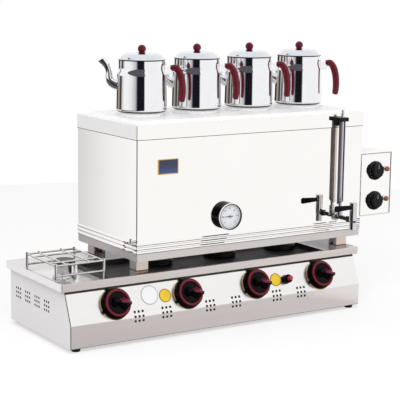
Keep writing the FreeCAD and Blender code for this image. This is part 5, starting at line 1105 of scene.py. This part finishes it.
def model_badge():
    """Blank badge: a plate with round corners, a raised bright rim and an enamelled field."""
    x, z, width, height = BADGE
    middle = at(x, SHELL_FRONT - BADGE_THICKNESS / 2, z)
    plate = block("badge_plate_look", middle, Vector((width, BADGE_THICKNESS, height)) * MM)
    # Edge mode is set first, because the edges are chosen outside edit mode
    editing(plate, "EDGE")
    closed(plate)
    for edge in plate.data.edges:
        start, end = (plate.data.vertices[i].co for i in edge.vertices)
        edge.select = abs((start - end).normalized().y) > SQUARE_ON
    bpy.ops.object.mode_set(mode="EDIT")
    bpy.ops.mesh.bevel(offset=BADGE_CORNER * MM, segments=6)
    front = at(x, SHELL_FRONT - BADGE_THICKNESS, z).y
    pick(plate, "FACE", lambda place, normal: abs(place.y - front) < TOUCH)
    bpy.ops.mesh.select_mode(type="FACE")
    bpy.ops.mesh.inset(thickness=BADGE_RIM * MM)
    bpy.ops.mesh.inset(thickness=BADGE_GROOVE * MM, depth=-BADGE_SINK * MM)
    closed(plate)
    painted(plate, "gold_edge", "badge_enamel")
    inner = (width / 2 - BADGE_RIM - BADGE_MARGIN) * MM
    paint_where(plate, 1, lambda place, normal: (
        normal.y < -SQUARE_ON and place.y > front + BADGE_MARGIN * MM
        and abs(place.x - middle.x) < inner))
    return rounded(plate, 0.25 * MM, 2, 60)


mounted(model_badge(), MAIN_BODY, "badge", "badge_plate")


# Control box fittings

DIAL_X = 515.0
LAMP_X = 554.0
LAMP_RISE = 2.5
DIAL_ZS = (279.0, 361.0)
BOX_FRONT = -132.0
HUB_FOOT = 5.05
FLUTES = 12
FLUTE_START = 16.0
FLUTE_DEPTH = 1.1
DOTS = 11
DOT_RADIUS = 21.4

lamp_base = [(6.0, -6.0), (6.0, 0.0), (7.5, 0.05), (7.5, 1.6), (7.1, 2.2), (6.3, 2.4)]
lamp_base += [(6.0, 2.0), (6.0, -6.0)]
lens_outline = [(0, -4.0), (5.9, -4.0), (5.9, 1.9), (7.1, 2.5), (7.1, 5.0), (6.5, 7.2), (4.6, 8.6)]
lens_outline += [(2.2, 9.0), (0, 9.0)]
lamps = []
for z in DIAL_ZS:
    place = facing_front(LAMP_X, BOX_FRONT, z + LAMP_RISE)
    # The lamp's ring has the same painted glow
    lamps.append(placed(painted(turned("lamp_ring", lamp_base, 40), "dial_white_glow"), place))
    lamps.append(placed(painted(turned("lamp_lens", lens_outline, 40), "amber"), place))
mounted(joined(lamps, "pilot_lamps_look"), MAIN_BODY, "lamp", "pilot_lamps")


def model_thermostat_knob():
    """Dial knob: a skirt with printed dots, a fluted hub and a raised pointer rib."""
    skirt = [(0, 1.0), (25.4, 1.0), (25.75, 1.4), (25.75, 2.8), (24.1, 4.8), (23.5, 5.0), (19.2, 5.0)]
    skirt.append((19.0, 5.1))
    hub = [(19.0, 14.0), (18.5, 15.4), (17.4, 16.0), (14.6, 15.9), (0, 15.6)]
    knob = turned("thermostat_knob", skirt + hub, 144)
    for vertex in knob.data.vertices:
        radius = vertex.co.xy.length
        if vertex.co.z > HUB_FOOT * MM and radius > FLUTE_START * MM:
            wave = math.cos(FLUTES * math.atan2(vertex.co.y, vertex.co.x))
            share = 1 - FLUTE_DEPTH * MM * max(0.0, wave) ** 2 / radius
            vertex.co.x *= share
            vertex.co.y *= share
    pieces = [painted(knob, "black_satin")]
    rib = bevelled_block("pointer_rib", (-1.2, 6.0, 15.4), (1.2, 16.6, 16.0), 0.25, 2)
    pieces.append(painted(rib, "mark_grey"))
    tab = bevelled_block("dial_tab", (23.0, 1.0, 1.2), (28.6, 6.6, 6.0), 0.8, 2)
    pieces.append(painted(tab, "black_satin"))
    dot_outline = [(0, 4.9), (0.8, 4.9), (0.8, 5.08), (0.7, 5.14), (0, 5.16)]
    for i in range(DOTS):
        angle = math.radians(225 - 27.0 * i)
        dot = painted(turned("dial_dot", dot_outline, 12), "mark_grey")
        spot = Matrix.Translation(Vector((math.cos(angle), math.sin(angle), 0)) * DOT_RADIUS * MM)
        pieces.append(placed(dot, spot))
    return joined(pieces, "thermostat_knob")


knob_model = model_thermostat_knob()
for i, z in enumerate(DIAL_ZS):
    node = "thermostat_knob_%d" % (i + 1)
    dial_knob = copied(knob_model, node + "_look", facing_front(DIAL_X, BOX_FRONT, z))
    mounted(dial_knob, node, "black_plastic", node)
bpy.data.objects.remove(knob_model)


# Floor, light and camera

CAMERA_PLACE = at(-1781.4, -2805.9, 880.1)
CAMERA_RIGHT = Vector((0.84041, -0.54182, 0.01219))
CAMERA_UP = Vector((0.08258, 0.15026, 0.98519))
CAMERA_FORWARD = Vector((0.53562, 0.82696, -0.17103))
CAMERA_LENS = 117.17

camera_data = bpy.data.cameras.new("camera")
camera_data.lens = CAMERA_LENS
camera_data.sensor_width = 36.0
camera_data.clip_end = 50.0
camera = bpy.data.objects.new("camera", camera_data)
bpy.context.scene.collection.objects.link(camera)
axes = Matrix((CAMERA_RIGHT, CAMERA_UP, -CAMERA_FORWARD)).transposed().to_4x4()
camera.matrix_world = Matrix.Translation(CAMERA_PLACE) @ axes
bpy.context.scene.camera = camera
bpy.context.scene.view_settings.view_transform = "Standard"

FLOOR_RADIUS = 2200.0
FLOOR_GLOW = 0.6

bpy.ops.mesh.primitive_circle_add(
    vertices=96, radius=FLOOR_RADIUS * MM, fill_type="NGON", location=(0, 0, 0))
floor = named(bpy.context.object, "studio_floor")
f = finish("floor_paper")
paper = f.node("ShaderNodeBsdfDiffuse", {}, {"Color": (0.5, 0.5, 0.5, 1)})
rays = f.node("ShaderNodeLightPath").output.node.outputs
seen = Socket(f, rays["Is Camera Ray"]) + Socket(f, rays["Is Transmission Ray"])
glow = f.node("ShaderNodeEmission", {}, {"Color": (1, 1, 1, 1), "Strength": seen * FLOOR_GLOW})
paper_glow = f.node("ShaderNodeAddShader", {}, {0: paper, 1: glow})
f.node("ShaderNodeOutputMaterial", {}, {"Surface": paper_glow})
floor.data.materials.append(f.owner)
floor.visible_glossy = False

world = bpy.data.worlds.new("studio")
bpy.context.scene.world = world
w = Finish(world)
rays = w.node("ShaderNodeLightPath").output.node.outputs
seen_through = Socket(w, rays["Is Camera Ray"]) + Socket(w, rays["Is Transmission Ray"])
mirrored = Socket(w, rays["Is Glossy Ray"])
x, y, z = w.axes(w.node("ShaderNodeTexCoord", output="Generated"))
room = w.node("ShaderNodeMath", {"operation": "ARCTAN2"}, {0: y, 1: x})
FRONT = math.atan2(-CAMERA_FORWARD.y, -CAMERA_FORWARD.x)
DAYLIGHT = 0.62
WHITE = (1.0, 1.0, 1.0)
CEILING = (0.93, 0.96, 1.0, 1.0)

around = (room - FRONT) / (2 * math.pi) + 1.5
share = w.node("ShaderNodeMath", {"operation": "FRACT"}, {0: around})


def round_room(stops):
    """Greys round the room by the angle in degrees from the front, left side first."""
    return w.ramp(share, [(0.5 + angle / 360, tint) for angle, tint in stops])


def step(value, low, high):
    """Mask that rises from 0 to 1 between two values."""
    settings = {"interpolation_type": "SMOOTHSTEP"}
    return w.node("ShaderNodeMapRange", settings, {"Value": value, 1: low, 2: high})


BROWN = (0.055, 0.040, 0.033)
BLACK = (0.008, 0.008, 0.012)
SAND = (0.36, 0.32, 0.29)
GREY = (0.55, 0.55, 0.57)
MAUVE = (0.50, 0.48, 0.50)
WINDOW_GREY = (0.095, 0.095, 0.108, 1.0)
WINDOW_SLANT = 0.32
# Soft borders: the window's sides as shares round the room, the rest by how far a ray points up
WINDOW_LEFT = (0.440, 0.448)
WINDOW_RIGHT = (0.548, 0.554)
WINDOW_SILL = (0.04, 0.08)
FLOOR_EDGE = (-0.36, -0.24)
BENCH_TOP = (-0.112, -0.107)
HORIZON = (-0.04, 0.02)
CEILING_EDGE = (0.70, 0.80)
UNDERSIDE = (0.14, 0.11, 0.10, 1.0)
stripe = [(-64, WHITE), (-44, (0.86, 0.86, 0.87)), (-26, GREY), (-17, BLACK), (14, BLACK), (18, WHITE)]
left_edge = [(-180, BROWN), (-141, BROWN), (-136, SAND), (-121, SAND), (-117, BROWN), (-106, BROWN)]
left_edge += [(-101, (0.58, 0.56, 0.56)), (-86, WHITE)]
low_room = round_room(left_edge + stripe + [(60, WHITE), (164, WHITE), (168, BLACK), (180, BROWN)])
high_room = round_room([(-180, WHITE)] + stripe + [(180, WHITE)])
left_bench = [(-180, MAUVE), (-119.8, (0.66, 0.65, 0.67)), (-118.6, (0.88, 0.87, 0.88)), (-117.2, WHITE)]
right_bench = [(-110, WHITE), (-104, BROWN), (-98, BLACK), (-8, BLACK), (-1, WHITE), (180, WHITE)]
bench_room = round_room(left_bench + right_bench)
surroundings = w.mix(step(z, *BENCH_TOP), bench_room, low_room)
surroundings = w.mix(step(z, *FLOOR_EDGE), UNDERSIDE, surroundings)
surroundings = w.mix(step(z, *HORIZON), surroundings, high_room)
left_of_window = step(share + z * WINDOW_SLANT, *WINDOW_LEFT)
dark_window = left_of_window * (1 - step(share, *WINDOW_RIGHT)) * step(z, *WINDOW_SILL)
surroundings = w.mix(dark_window, surroundings, WINDOW_GREY)
surroundings = w.mix(step(z, *CEILING_EDGE), surroundings, CEILING)
shown = w.mix(mirrored, (1, 1, 1, 1), surroundings)
strength = (seen_through + mirrored).capped() * (1 - DAYLIGHT) + DAYLIGHT
light = w.node("ShaderNodeBackground", {}, {"Color": shown, "Strength": strength})
w.node("ShaderNodeOutputWorld", {}, {"Surface": light})


def softbox(name, place, target, size, power):
    """Square area lamp aimed at a point, its place and size in metres."""
    lamp = bpy.data.lights.new(name, "AREA")
    lamp.size = size
    lamp.energy = power
    holder = bpy.data.objects.new(name, lamp)
    holder.visible_glossy = False
    bpy.context.scene.collection.objects.link(holder)
    aim = (Vector(place) - Vector(target)).to_track_quat("Z", "Y").to_matrix().to_4x4()
    holder.matrix_world = Matrix.Translation(Vector(place)) @ aim


softbox("key_softbox", (-1.6, -1.8, 2.4), (0, 0, 0.3), 1.6, 26)
softbox("fill_softbox", (2.2, -1.2, 1.6), (0, 0, 0.3), 1.4, 9)
